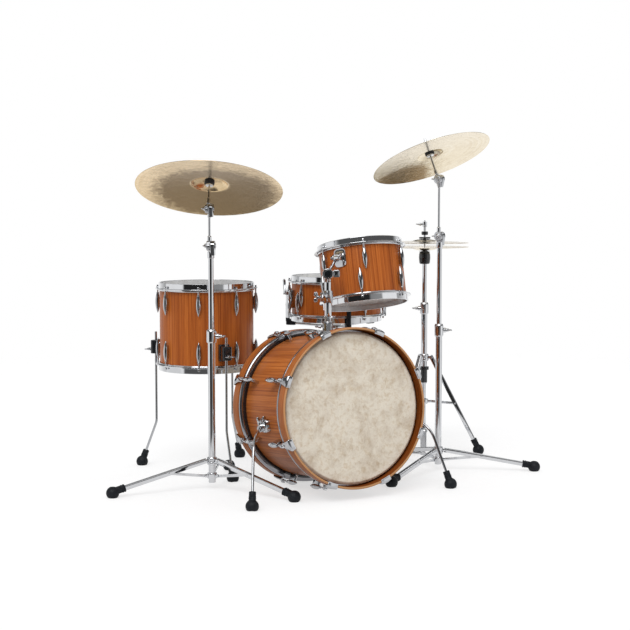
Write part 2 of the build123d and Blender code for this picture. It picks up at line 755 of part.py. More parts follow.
LUG_LOW = KICK_DEPTH / 2 - KICK_LUG_FROM_EDGE
kick_lug_seats = [around(end, KICK_RADIUS, angle, LUG_LOW) for end in KICK_ENDS for angle in LUG_ANGLES]
write("kick_lugs", together([lug(seat, KICK_ROD_CIRCLE, KICK_BARREL, KICK_LUG_LONG) for seat in kick_lug_seats]))
kick_rod_reach = HOOP_BACK + CLAW_BOSS - LUG_LOW
kick_rods = [tension_rod(within(seat, x=KICK_ROD_CIRCLE), kick_rod_reach, KICK_LUG_LONG * 0.26)
             for seat in kick_lug_seats]
write("kick_tension_rods", together(kick_rods))


# Kick spurs: a bent rod turns in a clamp on each side of the shell
def spur_points(side):
    """Clamp, bend and floor end of a spur rod on the side given by its sign."""
    return [(KICK_X + side * out, KICK_Y + along, up) for out, along, up in (SPUR_CLAMP, SPUR_BEND, SPUR_FOOT)]


def spur_bracket(side):
    """Clamp boss along the rod, on a pad that follows the shell."""
    clamp, bend, foot = spur_points(side)
    way = (Vector(*bend) - Vector(*clamp)).normalized()
    bore = Plane(origin=clamp, z_dir=way)
    pad = Plane(origin=clamp, x_dir=(0, 1, 0), z_dir=(side, 0, -0.2))
    with BuildPart() as bracket:
        add(barrel(bore, SPUR_BOSS, -8, 34))
        add(block(pad, 64, 44, -26, 4, 12))
        add(KICK_BARREL, mode=Mode.SUBTRACT)
        add(barrel(bore, LEG_ROD + SLIDE_GAP, 4, 40), mode=Mode.SUBTRACT)
    return bracket.part


def spur(side):
    """Bent spur rod and its rubber foot."""
    clamp, bend, foot = spur_points(side)
    way = (Vector(*bend) - Vector(*clamp)).normalized()
    down = Vector(*foot) - Vector(*bend)
    start = Vector(*clamp) + way * 6
    stop = Vector(*foot) - down.normalized() * 28
    stem = bent_rod([tuple(start), bend, tuple(stop)], LEG_ROD, SPUR_CURVE)
    return together([stem, rubber_foot(foot, down * -1, LEG_ROD + 0.2)])


def spur_screw(side):
    """Wing screw on top of a spur's clamp boss."""
    clamp, bend, foot = spur_points(side)
    way = (Vector(*bend) - Vector(*clamp)).normalized()
    up = Vector(0, 0, 1) - way * way.Z
    seat = Plane(origin=Vector(*clamp) + way * 22, z_dir=up)
    return wing_screw(within(seat, z=SPUR_BOSS + 0.05), 6)


write("kick_spur_brackets", together([spur_bracket(side) for side in (-1, 1)]))
write("kick_spur_left", spur(-1))
write("kick_spur_right", spur(1))


# Tom post: a base on the kick, a sleeve with a clamp that turns in it, and a post that slides in the sleeve
with BuildPart() as tom_post_base:
    add(block(POST, 70, 62, KICK_HEIGHT + 200, KICK_HEIGHT + KICK_RADIUS + 9, 14))
    add(barrel(POST, 19, KICK_HEIGHT + 200, POST_RECEIVER_TOP))
    add(KICK_BARREL, mode=Mode.SUBTRACT)
    add(barrel(POST, POST_SLEEVE + SLIDE_GAP, KICK_HEIGHT, POST_RECEIVER_TOP + 1), mode=Mode.SUBTRACT)
write("tom_post_base", tom_post_base.part)

with BuildPart() as tom_post_clamp:
    add(barrel(POST, POST_SLEEVE, KICK_HEIGHT + KICK_RADIUS - 60, POST_CLAMP))
    add(barrel(POST, 15, POST_RECEIVER_TOP + 0.4, POST_RECEIVER_TOP + 9))
    add(barrel(POST, 18, POST_CLAMP - 22, POST_CLAMP + 22))
    add(block(within(POST, x=-18, y=-6), 26, 18, POST_CLAMP - 16, POST_CLAMP + 16, 5))
    add(wing_screw(within(screw_seat(POST, POST_CLAMP, 180), z=28), 8))
    add(barrel(POST, UPPER_TUBE + SLIDE_GAP, KICK_HEIGHT, POST_CLAMP + 30), mode=Mode.SUBTRACT)
write("tom_post_clamp", tom_post_clamp.part)

knuckle_way = Vector(cos(radians(KNUCKLE_TURN)), sin(radians(KNUCKLE_TURN)), 0)
knuckle = Plane(origin=(*POST_AT, KNUCKLE), z_dir=knuckle_way)
with BuildPart() as tom_upper_post:
    add(barrel(POST, UPPER_TUBE, KICK_HEIGHT + 120, KNUCKLE - 10, UPPER_BORE))
    add(barrel(POST, 12.5, KNUCKLE - 30, KNUCKLE - 12))
    add(barrel(knuckle, 19, -20, 20))
    add(barrel(knuckle, KNUCKLE_JOURNAL + SLIDE_GAP, -21, 21), mode=Mode.SUBTRACT)
write("tom_upper_post", tom_upper_post.part)

# Rack tom, with the bracket that its arm holds
RACK = Plane(origin=(*RACK_TOM_AT, RACK_TOM_HEIGHT), x_dir=(1, 0, 0),
             z_dir=(0, sin(radians(RACK_TOM_TILT)), cos(radians(RACK_TOM_TILT))))
RACK_LUGS = 6
RACK_LUG_TURN = 244.8
RACK_STAGGER = -8.0
bracket = around(RACK, RACK_RADIUS, TOM_BRACKET_TURN, TOM_BRACKET_UP)
pivot = within(bracket, x=TOM_BRACKET_REACH, turn=(90, 0, 0))

with BuildPart() as tom_arm:
    add(barrel(knuckle, KNUCKLE_JOURNAL, -20.4, 26))
    add(barrel(knuckle, 15.5, -24.5, -20.4))
    add(barrel(knuckle, 17, 20.4, 34))
    elbow = point(knuckle, 0, 0, 27)
    eye = tuple(pivot.origin)
    add(rod(elbow, eye, TOM_ARM))
    add(barrel(pivot, 14, -EYE_HALF, EYE_HALF), mode=Mode.SUBTRACT)
    add(barrel(pivot, 11, -EYE_HALF, EYE_HALF))
    add(barrel(pivot, 4.1, -20, 20), mode=Mode.SUBTRACT)
write("tom_arm", tom_arm.part)

with BuildPart() as rack_tom_bracket:
    with BuildSketch(within(bracket, x=-6, turn=(0, 90, 0))):
        RectangleRounded(66, 46, 14)
    extrude(amount=10)
    for low in (EYE_HALF + 0.4, -EYE_HALF - 0.4 - EAR_THICK):
        add(barrel(pivot, 12, low, low + EAR_THICK))
        ear = within(bracket, y=-low - EAR_THICK / 2)
        add(block(within(ear, x=TOM_BRACKET_REACH / 2), TOM_BRACKET_REACH, EAR_THICK, -12, 12))
    add(barrel(pivot, 4, -EYE_HALF - EAR_THICK, EYE_HALF + EAR_THICK + 12))
    add(barrel(pivot, 7.5, EYE_HALF + EAR_THICK + 0.4, EYE_HALF + EAR_THICK + 10))
    add(barrel(RACK, RACK_RADIUS, -RACK_DEPTH / 2, RACK_DEPTH / 2), mode=Mode.SUBTRACT)
write("rack_tom_bracket", rack_tom_bracket.part)
steel_drum("rack_tom", RACK, RACK_RADIUS, RACK_DEPTH, RACK_LUGS, RACK_LUG_TURN, RACK_STAGGER)

# Floor tom on three sliding legs
FLOOR = Plane(origin=(*FLOOR_TOM_AT, FLOOR_TOM_HEIGHT))
FLOOR_GROUND = Plane(origin=(*FLOOR_TOM_AT, 0))
FLOOR_LUGS = 8
FLOOR_LUG_TURN = 237.1
steel_drum("floor_tom", FLOOR, FLOOR_RADIUS, FLOOR_DEPTH, FLOOR_LUGS, FLOOR_LUG_TURN)


def leg_bracket(angle):
    """Clamp block on the floor tom's shell with a bore for its leg."""
    seat = around(FLOOR_GROUND, FLOOR_LEG_CIRCLE, angle)
    plate = around(FLOOR_GROUND, FLOOR_RADIUS, angle)
    with BuildPart() as clamp:
        add(block(seat, 34, 36, FLOOR_BRACKET - 26, FLOOR_BRACKET + 26, 9))
        add(block(plate, 36, 40, FLOOR_BRACKET - 31, FLOOR_BRACKET + 31, 8))
        add(barrel(FLOOR, FLOOR_RADIUS, -FLOOR_DEPTH / 2, FLOOR_DEPTH / 2), mode=Mode.SUBTRACT)
        add(barrel(seat, LEG_ROD + SLIDE_GAP, FLOOR_BRACKET - 40, FLOOR_BRACKET + 40), mode=Mode.SUBTRACT)
    return clamp.part


def floor_leg(angle):
    """Leg rod, bent outwards near the floor, and its rubber foot."""
    spoke = within(FLOOR_GROUND, turn=(0, 0, angle))
    top = point(spoke, FLOOR_LEG_CIRCLE, 0, FLOOR_LEG_TOP)
    bend = point(spoke, FLOOR_LEG_CIRCLE, 0, FLOOR_LEG_BEND)
    foot = point(spoke, FLOOR_FOOT_CIRCLE, 0, 0)
    down = Vector(*foot) - Vector(*bend)
    stop = Vector(*foot) - down.normalized() * 28
    return together([bent_rod([top, bend, tuple(stop)], LEG_ROD, 60), rubber_foot(foot, down * -1, LEG_ROD + 0.2)])


write("floor_tom_leg_brackets", together([leg_bracket(angle) for angle in FLOOR_LEG_TURNS.values()]))
for name, angle in FLOOR_LEG_TURNS.items():
    write(f"floor_tom_leg_{name}", floor_leg(angle))

# Boom stands
boom_bases = []
stand_legs = []
stand_feet = []
wing_screws = []
for at, turn, clamp, (collar, brace_collar) in (
        (LEFT_STAND_AT, LEFT_LEG_TURN, LEFT_CLAMP, LEFT_COLLARS),
        (RIGHT_STAND_AT, RIGHT_LEG_TURN, RIGHT_CLAMP, RIGHT_COLLARS)):
    ground = Plane(origin=(*at, 0))
    boom_bases.append(base_tube(ground, turn, BOOM_TUBE_FOOT, clamp, collar, brace_collar, RIGHT_WING))
    wing_screws.append(clamp_screw(ground, clamp, RIGHT_WING))
    legs, feet = tripod(ground, turn, collar, BOOM_FOOT_CIRCLE, brace_collar, 0.4)
    stand_legs += legs
    stand_feet += feet
write("cymbal_stand_base_tubes", together(boom_bases))
boom_stand("left", LEFT_STAND_AT, LEFT_CLAMP, LEFT_TILTER, LEFT_TOP_TILTER, LEFT_LEAN, RIDE_REACH, "ride_cymbal",
           (RIDE_RADIUS, 66.0, 18.0, 26.0))
boom_stand("right", RIGHT_STAND_AT, RIGHT_CLAMP, RIGHT_TILTER, RIGHT_TOP_TILTER, RIGHT_LEAN, CRASH_REACH,
           "crash_cymbal", (CRASH_RADIUS, 50.0, 17.0, 20.0))

# Hi-hat stand
HAT_GROUND = Plane(origin=(*HIHAT_AT, 0))
write("hihat_base_tube", base_tube(HAT_GROUND, HAT_LEG_TURN, HAT_TUBE_FOOT, HAT_CLAMP, HAT_LEG_COLLAR,
                                   HAT_BRACE_COLLAR, LEFT_WING, HAT_WAIST))
wing_screws.append(clamp_screw(HAT_GROUND, HAT_CLAMP, LEFT_WING))
legs, feet = tripod(HAT_GROUND, HAT_LEG_TURN, HAT_LEG_COLLAR, HAT_LEG_CIRCLE, HAT_BRACE_COLLAR, 0.5)
stand_legs += legs
stand_feet += feet

with BuildPart() as hihat_upper_tube:
    add(barrel(HAT_GROUND, UPPER_TUBE, HAT_CLAMP - 180, HAT_SEAT - 48, UPPER_BORE))
write("hihat_upper_tube", hihat_upper_tube.part)

with BuildPart() as hihat_seat:
    with BuildSketch(half_plane(HAT_GROUND)):
        with BuildLine():
            low = HAT_SEAT - 54
            top = HAT_SEAT - 8
            Polyline((PULL_ROD + 0.5, top), (PULL_ROD + 0.5, low + 6), (UPPER_TUBE + 0.1, low + 6),
                     (UPPER_TUBE + 0.1, low), (20, low))
            ThreePointArc((20, low), (24, (low + top) / 2), (22, top))
            Line((22, top), (PULL_ROD + 0.5, top))
        make_face()
    revolve(axis=axis_of(HAT_GROUND))
    add(turned(HAT_GROUND, [(PULL_ROD + 0.5, HAT_SEAT - 7.8), (20, HAT_SEAT - 7.8), (22, HAT_SEAT - 5),
                            (14, HAT_SEAT - 3), (8, HAT_SEAT - 0.4), (PULL_ROD + 0.5, HAT_SEAT - 0.4)]))
write("hihat_seat", hihat_seat.part)

HAT_SHAPE = (HAT_RADIUS, 50.0, 6.5, 7.5)
hat_edge = HAT_SEAT + HAT_SHAPE[2] + HAT_SHAPE[3]
bottom_hole = facing_back(Plane(origin=(*HIHAT_AT, HAT_SEAT)))
top_hole = Plane(origin=(*HIHAT_AT, hat_edge + HAT_GAP + HAT_SHAPE[2] + HAT_SHAPE[3]))
write("hihat_bottom_cymbal", cymbal(bottom_hole, *HAT_SHAPE))
write("hihat_top_cymbal", cymbal(top_hole, *HAT_SHAPE))

with BuildPart() as hihat_pull_rod:
    bell = top_hole.origin.Z
    add(barrel(HAT_GROUND, PULL_ROD, HAT_TUBE_FOOT - 14, bell + 76))
    clutch = within(HAT_GROUND, z=bell)
    add(barrel(clutch, 5.6, -14, 56, PULL_ROD + 0.05))
    add(barrel(clutch, 11, -11, -6.3, 5.6))
    add(barrel(clutch, 13, -6.0, -2.6, 6.0))
    add(barrel(clutch, 23, 1.6, 8.4, 6.0))
    add(barrel(clutch, 13.5, 17, 31, 5.6))
    add(barrel(clutch, 9.5, 50, 70, PULL_ROD + 0.05))
    add(wing_screw(within(screw_seat(clutch, 60, LEFT_WING), z=7), 8))
    toe = HEEL_PIN + PEDAL_LONG * sin(radians(PEDAL_SLOPE))
    add(block(within(HAT_GROUND, turn=(0, 0, HAT_PEDAL_TURN)), 4, 12, toe + 8, HAT_TUBE_FOOT - 13))
write("hihat_pull_rod", hihat_pull_rod.part)

# Hi-hat pedal: X runs from the stand to the player's heel
PEDAL = within(HAT_GROUND, turn=(0, 0, HAT_PEDAL_TURN))
with BuildPart() as hihat_heel_plate:
    add(block(within(PEDAL, x=HEEL_AT + 22), 64, 84, 0, 10, 8))
    for side in (-1, 1):
        add(block(within(PEDAL, x=HEEL_AT, y=side * 38), 14, 6, 9, HEEL_PIN + 8))
        add(rod(point(PEDAL, 8, side * 49, 8), point(PEDAL, HEEL_AT + 22, side * 49, 8), 4))
        add(block(within(PEDAL, x=0, y=side * 49), 20, 10, 0, HAT_TUBE_FOOT - 10))
        add(block(within(PEDAL, x=HEEL_AT + 22, y=side * 46), 20, 12, 0, 12))
    add(block(PEDAL, 34, 108, HAT_TUBE_FOOT - 12, HAT_TUBE_FOOT, 10))
    add(barrel(HAT_GROUND, PULL_ROD + 1.5, HAT_TUBE_FOOT - 20, HAT_TUBE_FOOT + 8), mode=Mode.SUBTRACT)
    add(barrel(within(PEDAL, x=HEEL_AT, z=HEEL_PIN, turn=(90, 0, 0)), 3.1, -60, 60), mode=Mode.SUBTRACT)
write("hihat_heel_plate", hihat_heel_plate.part)

with BuildPart() as hihat_footboard:
    with BuildSketch(within(PEDAL, x=HEEL_AT, z=HEEL_PIN, turn=(0, PEDAL_SLOPE, 0))):
        with BuildLine():
            Polyline((-PEDAL_LONG, -20), (-PEDAL_LONG, 20), (-PEDAL_LONG + 50, 34), (0, 34), (0, -34),
                     (-PEDAL_LONG + 50, -34), close=True)
        make_face()
    extrude(amount=5)
    hinge = within(PEDAL, x=HEEL_AT, z=HEEL_PIN, turn=(90, 0, 0))
    add(barrel(hinge, 6, -34, 34))
    add(barrel(hinge, 3, -43, 43))
write("hihat_footboard", hihat_footboard.part)

# Snare drum and its stand
SNARE = Plane(origin=(*SNARE_AT, SNARE_HEIGHT))
SNARE_GROUND = Plane(origin=(*SNARE_AT, 0))
SNARE_LUGS = 8
SNARE_LUG_TURN = 194.6
STRAINER_TURN = 168.4
SNARE_STAGGER = -7.0
SNARE_EDGE = SNARE_DEPTH / 2
STRAND_LEVEL = SNARE_EDGE + FILM + 0.2
STRAP_END = SNARE_RADIUS + 18.8
UNDER = facing_back(SNARE)
WIRE_LINE = within(UNDER, turn=(0, 0, -STRAINER_TURN))
gates = [block(within(WIRE_LINE, x=side * (SNARE_RADIUS + 3)), 14, 44, SNARE_EDGE - 0.4, SNARE_EDGE + 9)
         for side in (-1, 1)]
steel_drum("snare", SNARE, SNARE_RADIUS, SNARE_DEPTH, SNARE_LUGS, SNARE_LUG_TURN, SNARE_STAGGER, gates)


def strainer_body(side, tall):
    """Housing on the shell with a drop clamp for the wires' strap, on the side given by its sign."""
    seat = within(WIRE_LINE, x=side * SNARE_RADIUS)
    with BuildPart() as body:
        add(block(within(seat, x=side * 10), 36, STRAINER_WIDE, -tall, 36, 5))
        add(block(within(seat, x=side * 23.5), 9, STRAINER_WIDE, 30, SNARE_EDGE + 6, 2))
        add(barrel(SNARE, SNARE_RADIUS, -SNARE_EDGE, SNARE_EDGE), mode=Mode.SUBTRACT)
    return body.part


def snare_wires():
    """Twenty strands under the lower head, their end plates and the straps to the two clamps."""
    half = 140.0
    pieces = []
    for k in range(STRANDS):
        across = (k - (STRANDS - 1) / 2) * STRAND_PITCH
        start = point(WIRE_LINE, -half, across, STRAND_LEVEL + 1)
        pieces.append(rod(start, point(WIRE_LINE, half, across, STRAND_LEVEL + 1), 0.9))
    for side in (-1, 1):
        plate = within(WIRE_LINE, x=side * (half + 6))
        pieces.append(block(plate, 14, STRANDS * STRAND_PITCH + 4, STRAND_LEVEL, STRAND_LEVEL + 2, 1))
        strap = within(WIRE_LINE, x=side * (half + 12 + STRAP_END) / 2)
        pieces.append(block(strap, STRAP_END - half - 12, 32, STRAND_LEVEL + 0.5, STRAND_LEVEL + 1.3))
    return pieces


with BuildPart() as snare_strainer:
    for piece in (strainer_body(1, 34), strainer_body(-1, 8)):
        add(piece)
    for piece in snare_wires():
        add(piece)
    lever_pin = within(WIRE_LINE, x=SNARE_RADIUS + 34, z=-22, turn=(90, 0, 0))
    for low in (-STRAINER_WIDE / 2, STRAINER_WIDE / 2 - 5):
        add(block(within(WIRE_LINE, x=SNARE_RADIUS + 32, y=-low - 2.5), 12, 5, -28, -16))
    add(barrel(lever_pin, 2.6, -20, 20), mode=Mode.SUBTRACT)
write("snare_strainer", snare_strainer.part)

with BuildPart() as snare_strainer_lever:
    add(barrel(lever_pin, 2.5, -STRAINER_WIDE / 2, STRAINER_WIDE / 2))
    add(barrel(lever_pin, 5, -10, 10))
    with BuildSketch(lever_pin):
        with BuildLine():
            Polyline((-2, 0), (4.5, 0), (8.5, -50), (4, -56), (0.5, -50), close=True)
        make_face()
    extrude(amount=8, both=True)
write("snare_strainer_lever", snare_strainer_lever.part)

write("snare_stand_base_tube", base_tube(SNARE_GROUND, SNARE_LEG_TURN, 40, SNARE_CLAMP, SNARE_LEG_COLLAR,
                                         SNARE_BRACE_COLLAR, SNARE_WING))
wing_screws.append(clamp_screw(SNARE_GROUND, SNARE_CLAMP, SNARE_WING))
legs, feet = tripod(SNARE_GROUND, SNARE_LEG_TURN, SNARE_LEG_COLLAR, SNARE_LEG_CIRCLE, SNARE_BRACE_COLLAR, 0.5)
stand_legs += legs
stand_feet += feet

basket_pivot = Vector(*SNARE_AT, BASKET_PIVOT)
basket_across = Vector(1, 0, 0)
half_neck = (TILTER_THICK + 2 * TILTER_GAP) / 2
with BuildPart() as snare_stand_upper_tube:
    add(barrel(SNARE_GROUND, UPPER_TUBE, SNARE_CLAMP - 180, BASKET_PIVOT - 26, UPPER_BORE))
    add(barrel(SNARE_GROUND, 12.5, BASKET_PIVOT - 42, BASKET_PIVOT - 19.5))
    add(block(within(SNARE_GROUND, x=-half_neck), TILTER_THICK, 22, BASKET_PIVOT - 24, BASKET_PIVOT - 4))
    for piece in ratchet_fixed(basket_pivot, basket_across, TILTER_RADIUS):
        add(piece)
write("snare_stand_upper_tube", snare_stand_upper_tube.part)


def basket_path(angle):
    """Hub end, corner and top of a basket arm."""
    spoke = within(SNARE_GROUND, turn=(0, 0, angle))
    rim = SNARE_HEIGHT - SNARE_EDGE - HOOP_TALL
    corner = point(spoke, BASKET_ARM, 0, rim - 15)
    return [point(spoke, 14, 0, BASKET_HUB), corner, point(spoke, BASKET_ARM, 0, rim + 50)]


with BuildPart() as snare_basket:
    add(ratchet_turning(basket_pivot, basket_across, TILTER_RADIUS))
    add(block(within(SNARE_GROUND, x=half_neck), TILTER_THICK, 20, BASKET_PIVOT + 8, BASKET_HUB))
    add(barrel(SNARE_GROUND, 22, BASKET_HUB - 9, BASKET_HUB + 9))
    for third in THIRDS:
        add(bent_rod(basket_path(BASKET_ARM_TURN + third), BASKET_ROD, 14))
    add(barrel(Plane(origin=basket_pivot, z_dir=basket_across), 4.1, -12, 12), mode=Mode.SUBTRACT)
write("snare_basket", snare_basket.part)


def basket_grip(angle):
    """Rubber sleeve on an arm's upright, with a pad under the drum's rim."""
    spoke = within(SNARE_GROUND, turn=(0, 0, angle))
    rim = SNARE_HEIGHT - SNARE_EDGE - HOOP_TALL
    upright = within(spoke, x=BASKET_ARM)
    with BuildPart() as grip:
        add(block(within(spoke, x=BASKET_ARM - 14), 40, 20, rim - 24, rim - 0.3, 6))
        add(barrel(upright, 8.5, rim - 10, rim + 74))
        add(bent_rod(basket_path(angle), BASKET_ROD + 0.15, 14), mode=Mode.SUBTRACT)
    return grip.part


write("snare_basket_grips", together([basket_grip(BASKET_ARM_TURN + third) for third in THIRDS]))

# Pieces that all the stands share: legs, rubber feet and wing screws
write("stand_legs", together(stand_legs))
write("stand_feet", together(stand_feet))
for angle in FLOOR_LEG_TURNS.values():
    face = screw_seat(FLOOR_GROUND, FLOOR_BRACKET - 10, angle)
    wing_screws.append(wing_screw(within(face, z=FLOOR_LEG_CIRCLE + 17), 5))
wing_screws.append(wing_screw(within(screw_seat(POST, POST_RECEIVER_TOP - 12, LEFT_WING), z=19), 6))
wing_screws += [spur_screw(side) for side in (-1, 1)]
write("stand_wing_screws", together(wing_screws))
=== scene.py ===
"""Acoustic drum kit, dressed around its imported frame.

Lengths below are millimetres in the CAD frame (+Z up, the audience looks along +Y); piece() turns them
into metres. A surface is a grid of points, rows by columns, worked out as one array.
"""

import json
from math import cos, pi, radians, sin, tau

import bmesh
import bpy
import numpy as np
from mathutils import Matrix, Vector


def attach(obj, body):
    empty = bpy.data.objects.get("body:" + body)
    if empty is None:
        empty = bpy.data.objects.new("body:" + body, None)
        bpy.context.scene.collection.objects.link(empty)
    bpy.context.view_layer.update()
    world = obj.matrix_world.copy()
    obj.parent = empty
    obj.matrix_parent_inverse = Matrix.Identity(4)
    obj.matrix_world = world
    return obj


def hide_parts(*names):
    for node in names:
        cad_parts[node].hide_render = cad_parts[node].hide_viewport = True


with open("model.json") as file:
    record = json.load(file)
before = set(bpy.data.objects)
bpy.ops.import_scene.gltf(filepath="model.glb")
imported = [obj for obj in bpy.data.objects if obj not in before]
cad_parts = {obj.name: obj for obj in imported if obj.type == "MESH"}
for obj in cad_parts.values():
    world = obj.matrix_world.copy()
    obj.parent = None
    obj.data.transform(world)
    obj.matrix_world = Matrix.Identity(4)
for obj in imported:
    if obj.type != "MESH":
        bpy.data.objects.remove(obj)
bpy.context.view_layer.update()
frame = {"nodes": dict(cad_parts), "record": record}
BODY_OF = {node: body for body, nodes in frame["record"]["behaviour"]["bodies"].items() for node in nodes}
SLOT_OF = {row["node"]: row["material_slot"] for row in frame["record"]["subparts"]}

MM = 0.001
INCH = 25.4
KICK_X, KICK_Y = -76.5125, -267.0365
THIRDS = (0, 120, 240)
SHARP, CAD_SHARP, CYMBAL_SHARP = 40, 32, 60  # degrees between faces above which an edge stays sharp
STEM_ASIDE = 8.0  # from a stand's axis to the middle of its cymbal's finish


# Frames: 3 by 4 arrays whose columns are X, Y, Z and the origin
def unit(v):
    v = np.asarray(v, float)
    return v / np.linalg.norm(v)


def axes(origin, z=(0, 0, 1), x=None):
    """Frame at a point with a Z direction; X is the given one made square to Z."""
    z = unit(z)
    if x is None:
        x = (1, 0, 0) if abs(z[0]) < 0.9 else (0, 1, 0)
    x = np.asarray(x, float)
    x = unit(x - z * (x @ z))
    return np.column_stack([x, np.cross(z, x), z, origin])


def spot(f, x=0.0, y=0.0, z=0.0):
    """World point of a place in a frame."""
    return f[:, :3] @ np.array([x, y, z], float) + f[:, 3]


def moved(f, x=0.0, y=0.0, z=0.0):
    """Frame shifted along its own axes."""
    g = f.copy()
    g[:, 3] = spot(f, x, y, z)
    return g


def spun(f, angle):
    """Frame turned about its own Z by degrees."""
    c, s = cos(radians(angle)), sin(radians(angle))
    g = f.copy()
    g[:, 0] = f[:, 0] * c + f[:, 1] * s
    g[:, 1] = f[:, 1] * c - f[:, 0] * s
    return g


def along_x(f):
    """The same place with Z along the old X and X along the old Y."""
    return np.column_stack([f[:, 1], f[:, 2], f[:, 0], f[:, 3]])


def flipped(f):
    """Frame turned over about its X."""
    return np.column_stack([f[:, 0], -f[:, 1], -f[:, 2], f[:, 3]])


def around(f, radius, angle, z=0.0):
    """Frame on a circle about another, X outwards."""
    return moved(spun(f, angle), radius, 0, z)


def placed(f, grid):
    """World points of a grid given in a frame."""
    return grid @ f[:, :3].T + f[:, 3]


# Surfaces
EDGE_SHARE = 0.45  # the most of an edge that a rounded corner takes


def lengths(rows):
    return np.linalg.norm(rows, axis=1, keepdims=True)


def circle(angles, radius=1.0):
    return np.column_stack([np.cos(angles), np.sin(angles)]) * radius


def arcs(start, corner, stop, steps):
    """Quadratic arcs, one for each row of corners, from its start to its stop."""
    t = np.linspace(0, 1, steps)[None, :, None]
    return (1 - t) ** 2 * start[:, None] + 2 * t * (1 - t) * corner[:, None] + t ** 2 * stop[:, None]


def eased(corners, radius, steps=4, closed=True):
    """Corners rounded: each is a quadratic arc that starts and ends a radius away along its two edges."""
    p = np.asarray(corners, float)
    before = np.roll(p, 1, 0) - p
    after = np.roll(p, -1, 0) - p
    r = np.minimum(radius, EDGE_SHARE * np.minimum(lengths(before), lengths(after)))
    rounded = arcs(p + before / lengths(before) * r, p, p + after / lengths(after) * r, steps + 1)
    if not closed:
        rounded[0] = p[0]
        rounded[-1] = p[-1]
    flat = rounded.reshape(-1, 2)
    return np.vstack([flat, flat[:1]]) if closed else flat


def lathe(f, profile, columns=40, ripple=None):
    """Turned surface: each (radius, height) of a profile carried round the frame's Z.

    A ripple (count, depth) adds depth times the cosine of count turns to the radius.
    """
    p = np.asarray(profile, float)
    a = np.linspace(0, tau, columns + 1)
    r = p[:, :1] * np.ones_like(a)
    if ripple:
        r = r + np.where(p[:, :1] > 0, ripple[1], 0) * np.cos(ripple[0] * a)
    return placed(f, np.stack([r * np.cos(a), r * np.sin(a), p[:, 1:] + 0 * a], -1))


def turned(f, corners, ease=0.6, columns=40, steps=3, ripple=None):
    """Solid of revolution with eased corners; a profile from the axis to the axis is left open there."""
    on_axis = corners[0][0] == 0 and corners[-1][0] == 0
    return lathe(f, eased(corners, ease, steps, not on_axis), columns, ripple)


def barrel(f, radius, low, high, ease=0.6, columns=40, bore=0.0):
    """Cylinder, or ring with a bore, with eased ends."""
    return turned(f, [(bore, low), (radius, low), (radius, high), (bore, high)], ease, columns)


def path_frames(path):
    """Side and up directions square to a path, each carried on from the one before with least twist."""
    way = np.gradient(path, axis=0)
    way /= lengths(way)
    side = axes(path[0], way[0])[:, 0]
    sides = []
    for w in way:
        side = unit(side - w * (side @ w))
        sides.append(side)
    sides = np.array(sides)
    return sides, np.cross(way, sides)


def sweep(path, radius, columns=20):
    """Round rod with closed ends: a circle on the side and up directions, carried along a path."""
    side, up = path_frames(path)
    s = circle(np.linspace(0, tau, columns + 1), radius)
    grid = path[:, None] + side[:, None] * s[None, :, :1] + up[:, None] * s[None, :, 1:]
    return np.concatenate([grid[:1] * 0 + path[0], grid, grid[-1:] * 0 + path[-1]])


def bent(points, radius, steps=14):
    """Straight runs joined by arcs: quadratic curves between points a tangent length from each corner."""
    p = np.asarray(points, float)
    corner = p[1:-1]
    into = corner - p[:-2]
    out = p[2:] - corner
    into /= lengths(into)
    out /= lengths(out)
    cosine = np.sum(into * out, 1)[:, None]
    reach = radius * np.sqrt((1 - cosine) / (1 + cosine))
    bends = arcs(corner - into * reach, corner, corner + out * reach, steps)
    return np.vstack([p[:1], bends.reshape(-1, 3), p[-1:]])


def stacked(plane, heights):
    """Rows of plane points, each row at its height."""
    lift = np.array(heights)[:, None, None]
    return np.concatenate([plane, np.broadcast_to(lift, plane.shape[:2] + (1,))], -1)


def strip(outer, inner):
    """Closed loop out along one path and back along another, and the mid line that closes it."""
    mid = (outer + inner) / 2
    return np.vstack([outer, inner[::-1], outer[:1]]), np.vstack([mid, mid[::-1], mid[:1]])


def slab(f, outline, low, high, ease=1.0):
    """Plate from an outline about its middle: rows step in at both faces, and close at the middle."""
    o = np.asarray(outline, float)
    mid = o[:-1].mean(0)
    size = np.abs(o - mid).max()
    slope = 0.3 * ease
    step = 1 - ease / size
    soft = 1 - slope / size
    r = np.array([0, step, soft, 1, 1, soft, step, 0])[:, None, None]
    heights = [low, low, low + slope, low + ease, high - ease, high - slope, high, high]
    return placed(f, stacked(mid + (o - mid)[None] * r, heights))


def rectangle(x, y, corner, steps=5):
    return eased([(-x / 2, -y / 2), (x / 2, -y / 2), (x / 2, y / 2), (-x / 2, y / 2)], corner, steps)


def stadium(length, width, steps=8):
    """Slot outline: two half circles joined by straight sides."""
    half = circle(np.linspace(-pi / 2, pi / 2, steps), width / 2) + [(length - width) / 2, 0]
    return np.vstack([half, -half, half[:1]])


def pebble(f, rx, ry, rz, square=1.0, rows=13, columns=24):
    """Superellipsoid: powers of the cosines and sines of latitude and longitude, squarer for low powers."""
    def power(v):
        return np.sign(v) * np.abs(v) ** square
    lat = np.linspace(-pi / 2, pi / 2, rows)[:, None]
    lon = np.linspace(0, tau, columns + 1)[None]
    level = power(np.cos(lat))
    return placed(f, np.stack([rx * level * power(np.cos(lon)), ry * level * power(np.sin(lon)),
                               rz * power(np.sin(lat)) * np.ones_like(lon)], -1))


def on_floor(grid):
    """The same surface with what is below the floor pressed flat onto it."""
    flat = grid.copy()
    flat[..., 2] = np.maximum(flat[..., 2], 0)
    return flat


